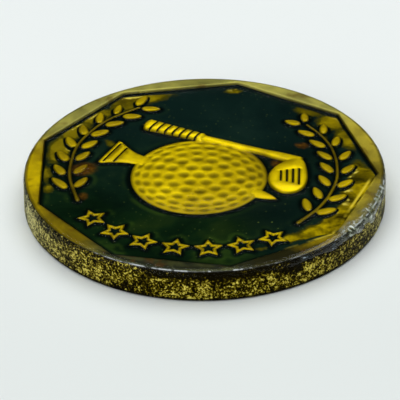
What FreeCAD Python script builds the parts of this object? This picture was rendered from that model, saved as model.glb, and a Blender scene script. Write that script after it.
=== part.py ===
"""Golf ball marker: a die-struck brass disc whose face is sunk as a nine-sided field
with raised artwork (two leafy branches, a ball with a club and a tee, seven open
stars), dark translucent enamel run into the field, the star centres and the cut
lines, and a clear lacquer coat over the whole face.

Millimetres.  Origin at the centre of the flat back, +Z up out of the face.
"""
import FreeCAD, Part
import Sketcher
import math
import os

V = FreeCAD.Vector
doc = FreeCAD.newDocument("ball_marker")

# ----------------------------------------------------------------------------
# Driving dimensions
# ----------------------------------------------------------------------------
sheet = doc.addObject("Spreadsheet::Sheet", "Dims")
DIMS = [
    ("disc_radius", 12.5, "outside radius of the struck disc"),
    ("brass_height", 2.45, "height of the flat brass rim above the back"),
    ("shoulder_radius", 0.35, "rounding where the side meets the face"),
    ("back_break", 0.15, "bevel round the back"),
    ("field_circumradius", 11.94, "corner radius of the nine-sided field"),
    ("field_phase", -2.0, "angle of the first field corner, degrees"),
    ("field_depth", 0.55, "depth of the field below the rim"),
    ("floor_height", 1.90, "height of the field floor above the back"),
    ("enamel_fill", 0.36, "thickness of the enamel in the field"),
    ("leaf_rise", 0.50, "height of the leaves above the field floor"),
    ("stem_rise", 0.44, "height of the stems above the field floor"),
    ("stem_width", 0.34, "width of a stem at its foot"),
    ("star_rise", 0.50, "height of the stars above the field floor"),
    ("star_outer", 1.12, "tip radius of a star"),
    ("star_waist", 0.56, "inner corner radius of a star"),
    ("star_stroke", 0.27, "width of a star's outline"),
    ("star_orbit", 9.40, "radius of the arc of stars"),
    ("star_step", 14.0, "angle between stars, degrees"),
    ("star_start", 215.2, "angle of the first star, degrees"),
    ("ball_radius", 4.80, "radius of the raised ball"),
    ("ball_rise", 0.52, "height of the ball above the field floor"),
    ("ball_x", -0.38, "ball centre, across"),
    ("ball_y", -0.42, "ball centre, up the face"),
    ("dimple_radius", 0.42, "radius of a dimple at the ball's middle"),
    ("dimple_depth", 0.08, "depth of a dimple"),
    ("tee_rise", 0.49, "height of the tee above the field floor"),
    ("club_rise", 0.55, "height of the club above the field floor"),
    ("line_depth", 0.12, "depth of the cut lines"),
    ("line_fill", 0.10, "thickness of the enamel in the cut lines"),
    ("coat_radius", 12.40, "outside radius of the clear coat"),
    ("coat_top", 2.60, "height of the clear coat's face above the back"),
    ("coat_edge", 0.30, "rounding round the clear coat"),
]
D = {}
for row, (alias, value, note) in enumerate(DIMS, start=1):
    sheet.set("A%d" % row, note)
    sheet.set("B%d" % row, str(value))
    sheet.setAlias("B%d" % row, alias)
    D[alias] = value
doc.recompute()


# ----------------------------------------------------------------------------
# Helpers
# ----------------------------------------------------------------------------
def origin_plane(body, role):
    for f in body.Origin.OriginFeatures:
        if f.Role == role:
            return f
    raise RuntimeError(role)


def face_sketch(body, name, height_expr):
    """A sketch parallel to the back, at the height an expression gives."""
    sk = body.newObject("Sketcher::SketchObject", name)
    sk.AttachmentSupport = [(origin_plane(body, "XY_Plane"), "")]
    sk.MapMode = "FlatFace"
    sk.setExpression("AttachmentOffset.Base.z", height_expr)
    return sk


def free_sketch(name, height_expr):
    """A sketch of the Part workbench, parallel to the back."""
    sk = doc.addObject("Sketcher::SketchObject", name)
    sk.setExpression("Placement.Base.z", height_expr)
    return sk


def bound_circle(sk, x, y, r_alias, x_alias=None, y_alias=None):
    c = sk.addGeometry(Part.Circle(V(x, y, 0), V(0, 0, 1), D[r_alias]), False)
    n = sk.addConstraint(Sketcher.Constraint("Radius", c, D[r_alias]))
    sk.renameConstraint(n, "radius")
    sk.setExpression("Constraints.radius", "Dims.%s" % r_alias)
    if x_alias:
        n = sk.addConstraint(Sketcher.Constraint("DistanceX", -1, 1, c, 3, x))
        sk.renameConstraint(n, "across")
        sk.setExpression("Constraints.across", "Dims.%s" % x_alias)
        n = sk.addConstraint(Sketcher.Constraint("DistanceY", -1, 1, c, 3, y))
        sk.renameConstraint(n, "up")
        sk.setExpression("Constraints.up", "Dims.%s" % y_alias)
    else:
        sk.addConstraint(Sketcher.Constraint("Coincident", c, 3, -1, 1))
    return c


def closed_lines(sk, pts):
    """A closed outline of straight lines."""
    n = len(pts)
    first = sk.GeometryCount
    sk.addGeometry(
        [
            Part.LineSegment(V(pts[i][0], pts[i][1], 0), V(pts[(i + 1) % n][0], pts[(i + 1) % n][1], 0))
            for i in range(n)
        ],
        False,
    )
    sk.addConstraint(
        [Sketcher.Constraint("Coincident", first + i, 2, first + (i + 1) % n, 1) for i in range(n)]
    )
    return first


def polygon_field(sk):
    """The nine-sided field: corners on a circle, sides equal, first corner at the phase angle."""
    r, phase = D["field_circumradius"], D["field_phase"]
    pts = [
        (r * math.cos(math.radians(phase + 40 * k)), r * math.sin(math.radians(phase + 40 * k)))
        for k in range(9)
    ]
    first = closed_lines(sk, pts)
    c = sk.addGeometry(Part.Circle(V(0, 0, 0), V(0, 0, 1), r), True)
    sk.addConstraint(Sketcher.Constraint("Coincident", c, 3, -1, 1))
    for i in range(9):
        sk.addConstraint(Sketcher.Constraint("PointOnObject", first + i, 1, c))
    for i in range(8):
        sk.addConstraint(Sketcher.Constraint("Equal", first + i, first + i + 1))
    n = sk.addConstraint(Sketcher.Constraint("Radius", c, r))
    sk.renameConstraint(n, "circumradius")
    sk.setExpression("Constraints.circumradius", "Dims.field_circumradius")
    n = sk.addConstraint(
        Sketcher.Constraint("DistanceY", -1, 1, first, 1, r * math.sin(math.radians(phase)))
    )
    sk.renameConstraint(n, "phase")
    sk.setExpression(
        "Constraints.phase", "Dims.field_circumradius * sin(Dims.field_phase * 1deg)"
    )


def circumarc(p, q, r):
    """Arc through three points."""
    return Part.Arc(V(p[0], p[1], 0), V(q[0], q[1], 0), V(r[0], r[1], 0))


def leaf(sk, x, y, direction, length, width):
    """A pointed oval: two arcs that meet at the base and the tip."""
    a = math.radians(direction)
    u, w = (math.cos(a), math.sin(a)), (-math.sin(a), math.cos(a))
    base = (x - u[0] * length / 2, y - u[1] * length / 2)
    tip = (x + u[0] * length / 2, y + u[1] * length / 2)
    one = (x + w[0] * width / 2, y + w[1] * width / 2)
    two = (x - w[0] * width / 2, y - w[1] * width / 2)
    sk.addGeometry([circumarc(base, one, tip), circumarc(tip, two, base)], False)


def offset_band(line, half):
    """Left and right edges of a band along a polyline, with its half width at each point."""
    left, right = [], []
    for i, p in enumerate(line):
        a = line[max(i - 1, 0)]
        b = line[min(i + 1, len(line) - 1)]
        dx, dy = b[0] - a[0], b[1] - a[1]
        n = math.hypot(dx, dy)
        nx, ny = -dy / n, dx / n
        left.append((p[0] + nx * half[i], p[1] + ny * half[i]))
        right.append((p[0] - nx * half[i], p[1] - ny * half[i]))
    return left, right


def spline(pts):
    c = Part.BSplineCurve()
    c.interpolate([V(x, y, 0) for x, y in pts])
    return c


def closed_spline(pts):
    c = Part.BSplineCurve()
    c.interpolate([V(x, y, 0) for x, y in pts], PeriodicFlag=True)
    return c


def band(sk, line, half):
    """A stem: two spline edges closed by short ends."""
    left, right = offset_band(line, half)
    sk.addGeometry(
        [
            spline(left),
            Part.LineSegment(V(left[-1][0], left[-1][1], 0), V(right[-1][0], right[-1][1], 0)),
            spline(right),
            Part.LineSegment(V(right[0][0], right[0][1], 0), V(left[0][0], left[0][1], 0)),
        ],
        False,
    )


def pad(body, sk, name, length_expr):
    p = body.newObject("PartDesign::Pad", name)
    p.Profile = sk
    p.setExpression("Length", length_expr)
    sk.Visibility = False
    return p


def pocket(body, sk, name, length_expr):
    p = body.newObject("PartDesign::Pocket", name)
    p.Profile = sk
    p.setExpression("Length", length_expr)
    sk.Visibility = False
    return p


def rings_at(shape, z, r):
    """Names of the round edges of a shape at one height and radius."""
    return [
        "Edge%d" % (i + 1)
        for i, e in enumerate(shape.Edges)
        if hasattr(e.Curve, "Radius")
        and abs(e.Curve.Radius - r) < 1e-4
        and abs(e.BoundBox.ZMin - z) < 1e-4
        and abs(e.BoundBox.ZMax - z) < 1e-4
    ]


# ----------------------------------------------------------------------------
# Artwork, in disc radii, so that it grows with the disc
# ----------------------------------------------------------------------------
R = D["disc_radius"]


def mm(points):
    return [(x * R, y * R) for x, y in points]


LEFT_STEM = mm(
    [(-0.698, -0.250), (-0.721, -0.149), (-0.740, -0.047), (-0.745, 0.037), (-0.738, 0.130),
     (-0.721, 0.242), (-0.694, 0.334), (-0.652, 0.418), (-0.591, 0.511), (-0.517, 0.590),
     (-0.443, 0.646), (-0.359, 0.701)]
)
RIGHT_STEM = mm(
    [(0.508, -0.508), (0.573, -0.432), (0.629, -0.353), (0.675, -0.260), (0.7075, -0.167),
     (0.729, -0.074), (0.735, 0.010), (0.7335, 0.084), (0.726, 0.159), (0.7075, 0.252),
     (0.680, 0.326), (0.6425, 0.400), (0.601, 0.460), (0.5775, 0.492)]
)
# centre x, centre y, direction in degrees from base to tip, length, width (all in radii)
LEAVES = [
    (-0.800, -0.075, 127, 0.140, 0.056), (-0.802, 0.063, 117, 0.120, 0.058),
    (-0.784, 0.204, 118, 0.118, 0.060), (-0.742, 0.348, 110, 0.115, 0.058),
    (-0.672, 0.474, 97, 0.108, 0.056), (-0.580, 0.597, 83, 0.112, 0.052),
    (-0.480, 0.682, 74, 0.100, 0.048), (-0.345, 0.775, 60, 0.120, 0.054),
    (-0.680, -0.070, 55, 0.122, 0.054), (-0.683, 0.065, 50, 0.120, 0.052),
    (-0.672, 0.200, 47, 0.118, 0.056), (-0.636, 0.320, 38, 0.118, 0.058),
    (-0.579, 0.437, 25, 0.116, 0.058), (-0.497, 0.534, 15, 0.114, 0.054),
    (-0.400, 0.608, -1, 0.112, 0.054), (-0.294, 0.685, -5, 0.110, 0.050),
    (0.664, -0.398, 20, 0.122, 0.062), (0.730, -0.264, 27, 0.112, 0.058),
    (0.775, -0.120, 38, 0.112, 0.056), (0.795, 0.027, 48, 0.112, 0.054),
    (0.783, 0.168, 56, 0.108, 0.054), (0.736, 0.317, 76, 0.104, 0.052),
    (0.669, 0.447, 88, 0.100, 0.050), (0.566, 0.572, 94, 0.096, 0.050),
    (0.558, -0.330, 100, 0.132, 0.056), (0.620, -0.213, 107, 0.126, 0.054),
    (0.660, -0.088, 118, 0.126, 0.054), (0.675, 0.045, 123, 0.128, 0.054),
    (0.667, 0.171, 134, 0.122, 0.052), (0.630, 0.293, 141, 0.120, 0.052),
    (0.571, 0.404, 150, 0.112, 0.050), (0.497, 0.519, 158, 0.100, 0.050),
]

BALL = (D["ball_x"], D["ball_y"])
RB = D["ball_radius"]

# The club: heel of the head, the way the shaft runs, and the way the head runs.
HEEL = (0.520 * R, 0.115 * R)
SHAFT_DIR = math.radians(154.6)
TOE_DIR = math.radians(268.0)
SHAFT_LEN = 11.75
GRIP_LEN = 4.55


def along_shaft(distance, side=0.0):
    ux, uy = math.cos(SHAFT_DIR), math.sin(SHAFT_DIR)
    return (HEEL[0] + ux * distance - uy * side, HEEL[1] + uy * distance + ux * side)


def head_point(u, w):
    """u runs from the heel to the toe, w from the sole to the crown."""
    ux, uy = math.cos(TOE_DIR), math.sin(TOE_DIR)
    cx, cy = uy, -ux
    return (HEEL[0] + ux * u + cx * w, HEEL[1] + uy * u + cy * w)


HEAD = [
    head_point(u, w)
    for u, w in [
        (-0.45, 0.10), (0.05, -0.42), (1.10, -0.66), (2.40, -0.70), (3.40, -0.48), (4.05, 0.10),
        (4.15, 0.85), (3.75, 1.55), (2.95, 1.98), (1.95, 2.05), (1.05, 1.75), (0.25, 1.10),
    ]
]
SHAFT = [along_shaft(0.0, 0.46), along_shaft(1.6, 0.44), along_shaft(2.6, 0.34),
         along_shaft(SHAFT_LEN - GRIP_LEN, 0.31),
         along_shaft(SHAFT_LEN - GRIP_LEN, -0.31), along_shaft(2.6, -0.34),
         along_shaft(1.6, -0.44), along_shaft(0.0, -0.46)]


def grip_half(distance):
    return 0.44 + 0.20 * (distance - SHAFT_LEN + GRIP_LEN) / GRIP_LEN


GRIP = [along_shaft(SHAFT_LEN - GRIP_LEN - 0.02, 0.44), along_shaft(SHAFT_LEN, 0.64),
        along_shaft(SHAFT_LEN, -0.64), along_shaft(SHAFT_LEN - GRIP_LEN - 0.02, -0.44)]


def strip(p, q, width):
    """A straight cut line as a thin rectangle."""
    dx, dy = q[0] - p[0], q[1] - p[1]
    n = math.hypot(dx, dy)
    nx, ny = -dy / n * width / 2, dx / n * width / 2
    return [(p[0] + nx, p[1] + ny), (q[0] + nx, q[1] + ny), (q[0] - nx, q[1] - ny), (p[0] - nx, p[1] - ny)]


# Cut lines: four score lines on the club's face, seven wraps on its grip.
FACE_LINES = [
    strip(head_point(1.25 + 0.10 * k, -0.10 + 0.42 * k), head_point(3.25 - 0.12 * k, -0.10 + 0.42 * k), 0.10)
    for k in range(4)
]
GRIP_LINES = [
    strip(along_shaft(SHAFT_LEN - GRIP_LEN + 0.55 + 0.56 * k, grip_half(SHAFT_LEN - GRIP_LEN + 0.37 + 0.56 * k) - 0.05),
          along_shaft(SHAFT_LEN - GRIP_LEN + 0.37 + 0.56 * k, 0.05 - grip_half(SHAFT_LEN - GRIP_LEN + 0.37 + 0.56 * k)), 0.10)
    for k in range(7)
]

# The tee lies behind the ball; only its cup and its point show.
TEE_DIR = math.radians(151.0)


def tee_point(distance, side):
    ux, uy = math.cos(TEE_DIR), math.sin(TEE_DIR)
    return (BALL[0] + ux * distance - uy * side, BALL[1] + uy * distance + ux * side)


TEE_CUP = [tee_point(3.9, 0.62), tee_point(5.3, 0.72), tee_point(6.3, 1.15), tee_point(7.0, 1.50),
           tee_point(7.25, 1.50), tee_point(7.25, -1.50), tee_point(7.0, -1.50),
           tee_point(6.3, -1.15), tee_point(5.3, -0.72), tee_point(3.9, -0.62)]
TEE_TIP = [tee_point(-3.9, -0.60), tee_point(-5.2, -0.48), tee_point(-6.15, 0.0), tee_point(-5.2, 0.48),
           tee_point(-3.9, 0.60)]
TEE_LINES = [strip(tee_point(6.86, 1.28), tee_point(6.86, -1.28), 0.09),
             strip(tee_point(6.20, 0.98), tee_point(6.20, -0.98), 0.09)]


def star(cx, cy, turn, outer, waist):
    return [
        (cx + (outer if k % 2 == 0 else waist) * math.cos(math.radians(turn + 36 * k)),
         cy + (outer if k % 2 == 0 else waist) * math.sin(math.radians(turn + 36 * k)))
        for k in range(10)
    ]


def stars(share):
    """The seven stars at a share of their full size, each with a tip towards the disc's middle."""
    found = []
    for k in range(7):
        a = D["star_start"] + k * D["star_step"]
        cx, cy = D["star_orbit"] * math.cos(math.radians(a)), D["star_orbit"] * math.sin(math.radians(a))
        found.append(star(cx, cy, a + 180, D["star_outer"] * share, D["star_waist"] * share))
    return found


def star_hole_share():
    """Size of a star's centre beside its outline, for the stroke asked for."""
    o, w = D["star_outer"], D["star_waist"]
    edge = o * w * math.sin(math.radians(36)) / math.sqrt(o * o + w * w - 2 * o * w * math.cos(math.radians(36)))
    return (edge - D["star_stroke"]) / edge


HOLE = star_hole_share()


def off_club(x, y, room):
    """Whether a point of the ball is clear of the shaft by at least this much."""
    dx, dy = x - HEEL[0], y - HEEL[1]
    side = -math.sin(SHAFT_DIR) * dx + math.cos(SHAFT_DIR) * dy
    head = min(math.hypot(x - hx, y - hy) for hx, hy in HEAD)
    return abs(side) > room + 0.36 and head > room


def dimples():
    """Dimples in rings round the ball's middle, narrowing towards its outline as on a sphere."""
    found = []
    for ring in range(0, 6):
        polar = math.radians(12.6 * ring)
        rr = RB * math.sin(polar)
        count = 1 if ring == 0 else int(round(2 * math.pi * math.sin(polar) / math.radians(12.9)))
        size = D["dimple_radius"] * (0.20 + 0.80 * math.cos(polar))
        for k in range(count):
            a = 2 * math.pi * (k + 0.5 * (ring % 2)) / count + 0.35 + 0.11 * ring
            x, y = BALL[0] + rr * math.cos(a), BALL[1] + rr * math.sin(a)
            if off_club(x, y, size + 0.06):
                found.append((x, y, size))
    return found


# ----------------------------------------------------------------------------
# brass_disc: struck in one piece with its artwork
# ----------------------------------------------------------------------------
brass = doc.addObject("PartDesign::Body", "brass_disc")
brass.Label = "brass_disc"

sk = face_sketch(brass, "DiscOutline", "0 mm")
bound_circle(sk, 0, 0, "disc_radius")
blank = pad(brass, sk, "DiscBlank", "Dims.brass_height")
doc.recompute()

shoulder = brass.newObject("PartDesign::Fillet", "Shoulder")
shoulder.Base = (blank, rings_at(blank.Shape, D["brass_height"], R))
shoulder.setExpression("Radius", "Dims.shoulder_radius")
doc.recompute()

bevel = brass.newObject("PartDesign::Chamfer", "BackBevel")
bevel.Base = (shoulder, rings_at(shoulder.Shape, 0.0, R))
bevel.setExpression("Size", "Dims.back_break")
doc.recompute()
before = bevel.Shape.Volume

sk = face_sketch(brass, "FieldOutline", "Dims.brass_height")
polygon_field(sk)
field = pocket(brass, sk, "Field", "Dims.field_depth")
doc.recompute()
sunk = before - field.Shape.Volume
expected = 4.5 * D["field_circumradius"] ** 2 * math.sin(math.radians(40)) * D["field_depth"]
assert abs(sunk - expected) < 0.5, (sunk, expected)

FLOOR = "Dims.floor_height"

sk = face_sketch(brass, "Stems", FLOOR)
for line in (LEFT_STEM, RIGHT_STEM):
    n = len(line)
    half = [D["stem_width"] / 2 * (1.05 if i < 2 else 1.0 - 0.45 * i / (n - 1)) for i in range(n)]
    band(sk, line, half)
pad(brass, sk, "StemRelief", "Dims.stem_rise")

sk = face_sketch(brass, "Leaves", FLOOR)
for x, y, direction, length, width in LEAVES:
    leaf(sk, x * R, y * R, direction, length * R, width * R)
pad(brass, sk, "LeafRelief", "Dims.leaf_rise")

sk = face_sketch(brass, "Tee", FLOOR)
closed_lines(sk, TEE_CUP)
closed_lines(sk, TEE_TIP)
pad(brass, sk, "TeeRelief", "Dims.tee_rise")

sk = face_sketch(brass, "Ball", FLOOR)
bound_circle(sk, D["ball_x"], D["ball_y"], "ball_radius", "ball_x", "ball_y")
ball_pad = pad(brass, sk, "BallRelief", "Dims.ball_rise")
doc.recompute()
before = ball_pad.Shape.Volume

sk = face_sketch(brass, "Dimples", "Dims.floor_height + Dims.ball_rise")
for x, y, size in dimples():
    sk.addGeometry(Part.Circle(V(x, y, 0), V(0, 0, 1), size), False)
dents = pocket(brass, sk, "BallDimples", "Dims.dimple_depth")
doc.recompute()
taken = before - dents.Shape.Volume
expected = sum(math.pi * s * s for _, _, s in dimples()) * D["dimple_depth"]
assert abs(taken - expected) < 0.02 * expected + 0.01, (taken, expected)

sk = face_sketch(brass, "ClubHead", FLOOR)
sk.addGeometry(closed_spline(HEAD), False)
pad(brass, sk, "ClubHeadRelief", "Dims.club_rise")

sk = face_sketch(brass, "ClubShaft", FLOOR)
closed_lines(sk, SHAFT)
pad(brass, sk, "ClubShaftRelief", "Dims.club_rise - 0.05")

sk = face_sketch(brass, "ClubGrip", FLOOR)
closed_lines(sk, GRIP)
pad(brass, sk, "ClubGripRelief", "Dims.club_rise")

sk = face_sketch(brass, "Stars", FLOOR)
for outline in stars(1.0) + stars(HOLE):
    closed_lines(sk, outline)
star_pad = pad(brass, sk, "StarRelief", "Dims.star_rise")
doc.recompute()
before = star_pad.Shape.Volume

sk = face_sketch(brass, "ClubLines", "Dims.floor_height + Dims.club_rise")
for outline in FACE_LINES + GRIP_LINES:
    closed_lines(sk, outline)
cuts = pocket(brass, sk, "ClubLineCuts", "Dims.line_depth")
doc.recompute()
assert cuts.Shape.Volume < before - 0.12, "the club lines cut nothing"
before = cuts.Shape.Volume

sk = face_sketch(brass, "TeeLines", "Dims.floor_height + Dims.tee_rise")
for outline in TEE_LINES:
    closed_lines(sk, outline)
tee_cuts = pocket(brass, sk, "TeeLineCuts", "Dims.line_depth")
doc.recompute()
assert tee_cuts.Shape.Volume < before - 0.03, "the tee lines cut nothing"
brass.Tip = tee_cuts
doc.recompute()

# ----------------------------------------------------------------------------
# field_enamel: one pool of enamel round all the artwork
# ----------------------------------------------------------------------------
sk = free_sketch("FieldPool", FLOOR)
polygon_field(sk)
pool = doc.addObject("Part::Extrusion", "EnamelPool")
pool.Base = sk
pool.DirMode = "Custom"
pool.Dir = V(0, 0, 1)
pool.Solid = True
pool.setExpression("LengthFwd", "Dims.enamel_fill")

sk = free_sketch("StarPlugOutlines", "Dims.floor_height - 0.1")
for outline in stars(1.0):
    closed_lines(sk, outline)
plugs = doc.addObject("Part::Extrusion", "StarPlugs")
plugs.Base = sk
plugs.DirMode = "Custom"
plugs.Dir = V(0, 0, 1)
plugs.Solid = True
plugs.setExpression("LengthFwd", "Dims.star_rise + 0.2")

round_art = doc.addObject("Part::Cut", "PoolRoundArtwork")
round_art.Base = pool
round_art.Tool = brass
field_enamel = doc.addObject("Part::Cut", "field_enamel")
field_enamel.Label = "field_enamel"
field_enamel.Base = round_art
field_enamel.Tool = plugs

# ----------------------------------------------------------------------------
# star_enamel: a drop of enamel in the middle of each star
# ----------------------------------------------------------------------------
sk = free_sketch("StarCentres", FLOOR)
for outline in stars(HOLE):
    closed_lines(sk, outline)
star_enamel = doc.addObject("Part::Extrusion", "star_enamel")
star_enamel.Label = "star_enamel"
star_enamel.Base = sk
star_enamel.DirMode = "Custom"
star_enamel.Dir = V(0, 0, 1)
star_enamel.Solid = True
star_enamel.setExpression("LengthFwd", "Dims.enamel_fill")

# ----------------------------------------------------------------------------
# club_line_enamel and tee_line_enamel: enamel in the cut lines
# ----------------------------------------------------------------------------
sk = free_sketch("ClubLineFloors", "Dims.floor_height + Dims.club_rise - Dims.line_depth")
for outline in FACE_LINES + GRIP_LINES:
    closed_lines(sk, outline)
club_lines = doc.addObject("Part::Extrusion", "ClubLineFill")
club_lines.Base = sk
club_lines.DirMode = "Custom"
club_lines.Dir = V(0, 0, 1)
club_lines.Solid = True
club_lines.setExpression("LengthFwd", "Dims.line_fill")
club_line_enamel = doc.addObject("Part::Cut", "club_line_enamel")
club_line_enamel.Label = "club_line_enamel"
club_line_enamel.Base = club_lines
club_line_enamel.Tool = brass

sk = free_sketch("TeeLineFloors", "Dims.floor_height + Dims.tee_rise - Dims.line_depth")
for outline in TEE_LINES:
    closed_lines(sk, outline)
tee_line_enamel = doc.addObject("Part::Extrusion", "tee_line_enamel")
tee_line_enamel.Label = "tee_line_enamel"
tee_line_enamel.Base = sk
tee_line_enamel.DirMode = "Custom"
tee_line_enamel.Dir = V(0, 0, 1)
tee_line_enamel.Solid = True
tee_line_enamel.setExpression("LengthFwd", "Dims.line_fill")

# ----------------------------------------------------------------------------
# clear_coat: lacquer over the rim, the artwork and the enamel
# ----------------------------------------------------------------------------
coat = doc.addObject("PartDesign::Body", "CoatBlank")
sk = face_sketch(coat, "CoatOutline", "Dims.floor_height + Dims.enamel_fill")
bound_circle(sk, 0, 0, "coat_radius")
coat_pad = pad(coat, sk, "CoatSheet", "Dims.coat_top - Dims.floor_height - Dims.enamel_fill")
doc.recompute()
coat_edge = coat.newObject("PartDesign::Fillet", "CoatEdge")
coat_edge.Base = (coat_pad, rings_at(coat_pad.Shape, D["coat_top"], D["coat_radius"]))
coat_edge.setExpression("Radius", "Dims.coat_edge")
doc.recompute()

over_brass = doc.addObject("Part::Cut", "CoatOverBrass")
over_brass.Base = coat
over_brass.Tool = brass
over_club_lines = doc.addObject("Part::Cut", "CoatOverClubLines")
over_club_lines.Base = over_brass
over_club_lines.Tool = club_line_enamel
clear_coat = doc.addObject("Part::Cut", "clear_coat")
clear_coat.Label = "clear_coat"
clear_coat.Base = over_club_lines
clear_coat.Tool = tee_line_enamel

doc.recompute()

# ----------------------------------------------------------------------------
# Checks and STEP files
# ----------------------------------------------------------------------------
bad = [o.Name for o in doc.Objects if "Invalid" in o.State or "Error" in o.State]
if bad:
    raise RuntimeError("failed objects: %s" % bad)

NODES = [brass, field_enamel, star_enamel, club_line_enamel, tee_line_enamel, clear_coat]
for o in NODES:
    s = o.Shape
    if s.isNull() or not s.isValid():
        raise RuntimeError("%s has no valid shape" % o.Label)
    print("%-18s solids %2d  volume %9.3f mm3  z %.3f to %.3f"
          % (o.Label, len(s.Solids), s.Volume, s.BoundBox.ZMin, s.BoundBox.ZMax))

os.makedirs("parts", exist_ok=True)
for o in NODES:
    o.Shape.exportStep("parts/%s.step" % o.Label)
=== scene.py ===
import math

import bpy
import bmesh
import numpy as np
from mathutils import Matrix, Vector
from mathutils.geometry import delaunay_2d_cdt


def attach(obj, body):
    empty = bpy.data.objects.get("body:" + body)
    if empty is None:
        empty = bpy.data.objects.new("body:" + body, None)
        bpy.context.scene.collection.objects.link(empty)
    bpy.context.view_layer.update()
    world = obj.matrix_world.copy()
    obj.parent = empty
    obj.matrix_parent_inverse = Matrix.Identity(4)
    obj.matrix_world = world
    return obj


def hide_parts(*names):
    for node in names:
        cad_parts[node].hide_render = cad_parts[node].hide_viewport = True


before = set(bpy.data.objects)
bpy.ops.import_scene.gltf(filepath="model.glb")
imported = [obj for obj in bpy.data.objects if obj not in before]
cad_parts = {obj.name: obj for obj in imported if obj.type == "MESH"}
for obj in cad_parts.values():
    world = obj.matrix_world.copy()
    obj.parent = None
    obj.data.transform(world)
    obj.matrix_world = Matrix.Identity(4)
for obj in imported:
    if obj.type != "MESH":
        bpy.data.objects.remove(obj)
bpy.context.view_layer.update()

MM = 0.001

# ============================================================================
# The marker's sizes, in millimetres (as in the CAD)
# ============================================================================
R = 12.5
FLOOR, LEVEL, RIM = 1.90, 2.235, 2.45
R_TOP = 12.15          # where the shoulder starts
BEVEL = 0.15
NONAGON_R, NONAGON_PHASE = 11.94, -2.0
N_RING = 1080

rng = np.random.default_rng(20240611)


# ============================================================================
# Noise
# ============================================================================
def _hash(i, seed):
    h = (i[..., 0] * 374761393 + i[..., 1] * 668265263 + i[..., 2] * 974634777 + seed * 362437) & 0xFFFFFFFF
    h = ((h ^ (h >> 13)) * 1274126177) & 0xFFFFFFFF
    h = h ^ (h >> 16)
    return (h & 0xFFFFFF) / float(0x7FFFFF) - 1.0


def noise(p, scale, seed=0):
    """Smooth value noise in -1..1 at points p (n, 3)."""
    q = p / scale
    i = np.floor(q).astype(np.int64)
    f = q - i
    f = f * f * f * (f * (f * 6 - 15) + 10)
    out = 0.0
    for dx in (0, 1):
        wx = f[:, 0] if dx else 1 - f[:, 0]
        for dy in (0, 1):
            wy = f[:, 1] if dy else 1 - f[:, 1]
            for dz in (0, 1):
                wz = f[:, 2] if dz else 1 - f[:, 2]
                out = out + wx * wy * wz * _hash(i + np.array([dx, dy, dz]), seed)
    return out


def fbm(p, scale, octaves=3, seed=0, gain=0.5):
    total, amp, norm = 0.0, 1.0, 0.0
    for k in range(octaves):
        total = total + amp * noise(p, scale / 2 ** k, seed + 17 * k)
        norm += amp
        amp *= gain
    return total / norm


def smooth(x, lo, hi):
    t = np.clip((x - lo) / (hi - lo), 0, 1)
    return t * t * (3 - 2 * t)


def flat3(p, z=0.0):
    return np.column_stack([p, np.full(len(p), z)])


# ============================================================================
# Outlines (closed polylines, counter-clockwise) and their distance fields
# ============================================================================
def ccw(poly):
    x, y = poly[:, 0], poly[:, 1]
    area = 0.5 * np.sum(x * np.roll(y, -1) - y * np.roll(x, -1))
    return poly if area > 0 else poly[::-1].copy()


def resample(poly, step, closed=True):
    """Points along a polyline about a step apart, corners kept."""
    out = []
    n = len(poly)
    for i in range(n if closed else n - 1):
        a, b = poly[i], poly[(i + 1) % n]
        k = max(1, int(round(np.hypot(*(b - a)) / step)))
        for j in range(k):
            out.append(a + (b - a) * j / k)
    if not closed:
        out.append(poly[-1])
    return np.array(out)


def catmull(pts, per=8, closed=False):
    """A smooth line through points."""
    pts = np.asarray(pts, float)
    n = len(pts)
    out = []
    for i in range(n if closed else n - 1):
        if closed:
            p0, p1, p2, p3 = pts[(i - 1) % n], pts[i], pts[(i + 1) % n], pts[(i + 2) % n]
        else:
            p0, p1 = pts[max(i - 1, 0)], pts[i]
            p2, p3 = pts[i + 1], pts[min(i + 2, n - 1)]
        for j in range(per):
            t = j / per
            out.append(0.5 * ((2 * p1) + (-p0 + p2) * t + (2 * p0 - 5 * p1 + 4 * p2 - p3) * t * t
                              + (-p0 + 3 * p1 - 3 * p2 + p3) * t ** 3))
    if not closed:
        out.append(pts[-1])
    return np.array(out)


def signed(P, poly, reach=1.2):
    """Distance to an outline, positive inside; points far outside its box get -9."""
    out = np.full(len(P), -9.0)
    lo, hi = poly.min(0) - reach, poly.max(0) + reach
    near = np.where(np.all((P > lo) & (P < hi), axis=1))[0]
    A, B = poly, np.roll(poly, -1, 0)
    E = B - A
    ee = np.maximum((E * E).sum(1), 1e-12)
    for start in range(0, len(near), 4000):
        idx = near[start:start + 4000]
        D = P[idx][:, None] - A[None]
        t = np.clip((D * E[None]).sum(2) / ee[None], 0, 1)
        q = D - E[None] * t[..., None]
        dist = np.sqrt((q * q).sum(2).min(1))
        py, px = P[idx, 1][:, None], P[idx, 0][:, None]
        cross = (A[None, :, 1] > py) != (B[None, :, 1] > py)
        with np.errstate(divide="ignore", invalid="ignore"):
            xi = A[None, :, 0] + (py - A[None, :, 1]) * E[None, :, 0] / np.where(np.abs(E[None, :, 1]) < 1e-12, 1e-12, E[None, :, 1])
        inside = (cross & (px < xi)).sum(1) % 2 == 1
        out[idx] = np.where(inside, dist, -dist)
    return out


def offsets(line, poly, values):
    """Rings beside an outline: points of the line moved inwards by each value, where they really are that far."""
    t = np.roll(line, -1, 0) - np.roll(line, 1, 0)
    t /= np.maximum(np.hypot(t[:, 0], t[:, 1])[:, None], 1e-9)
    normal = np.column_stack([-t[:, 1], t[:, 0]])
    out = []
    for v in values:
        p = line + normal * v
        if abs(v) > 1e-6:
            d = signed(p, poly, reach=2.0)
            p = p[np.abs(d - v) < 0.22 * abs(v) + 0.004]
        out.append(p)
    return np.concatenate(out)


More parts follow.
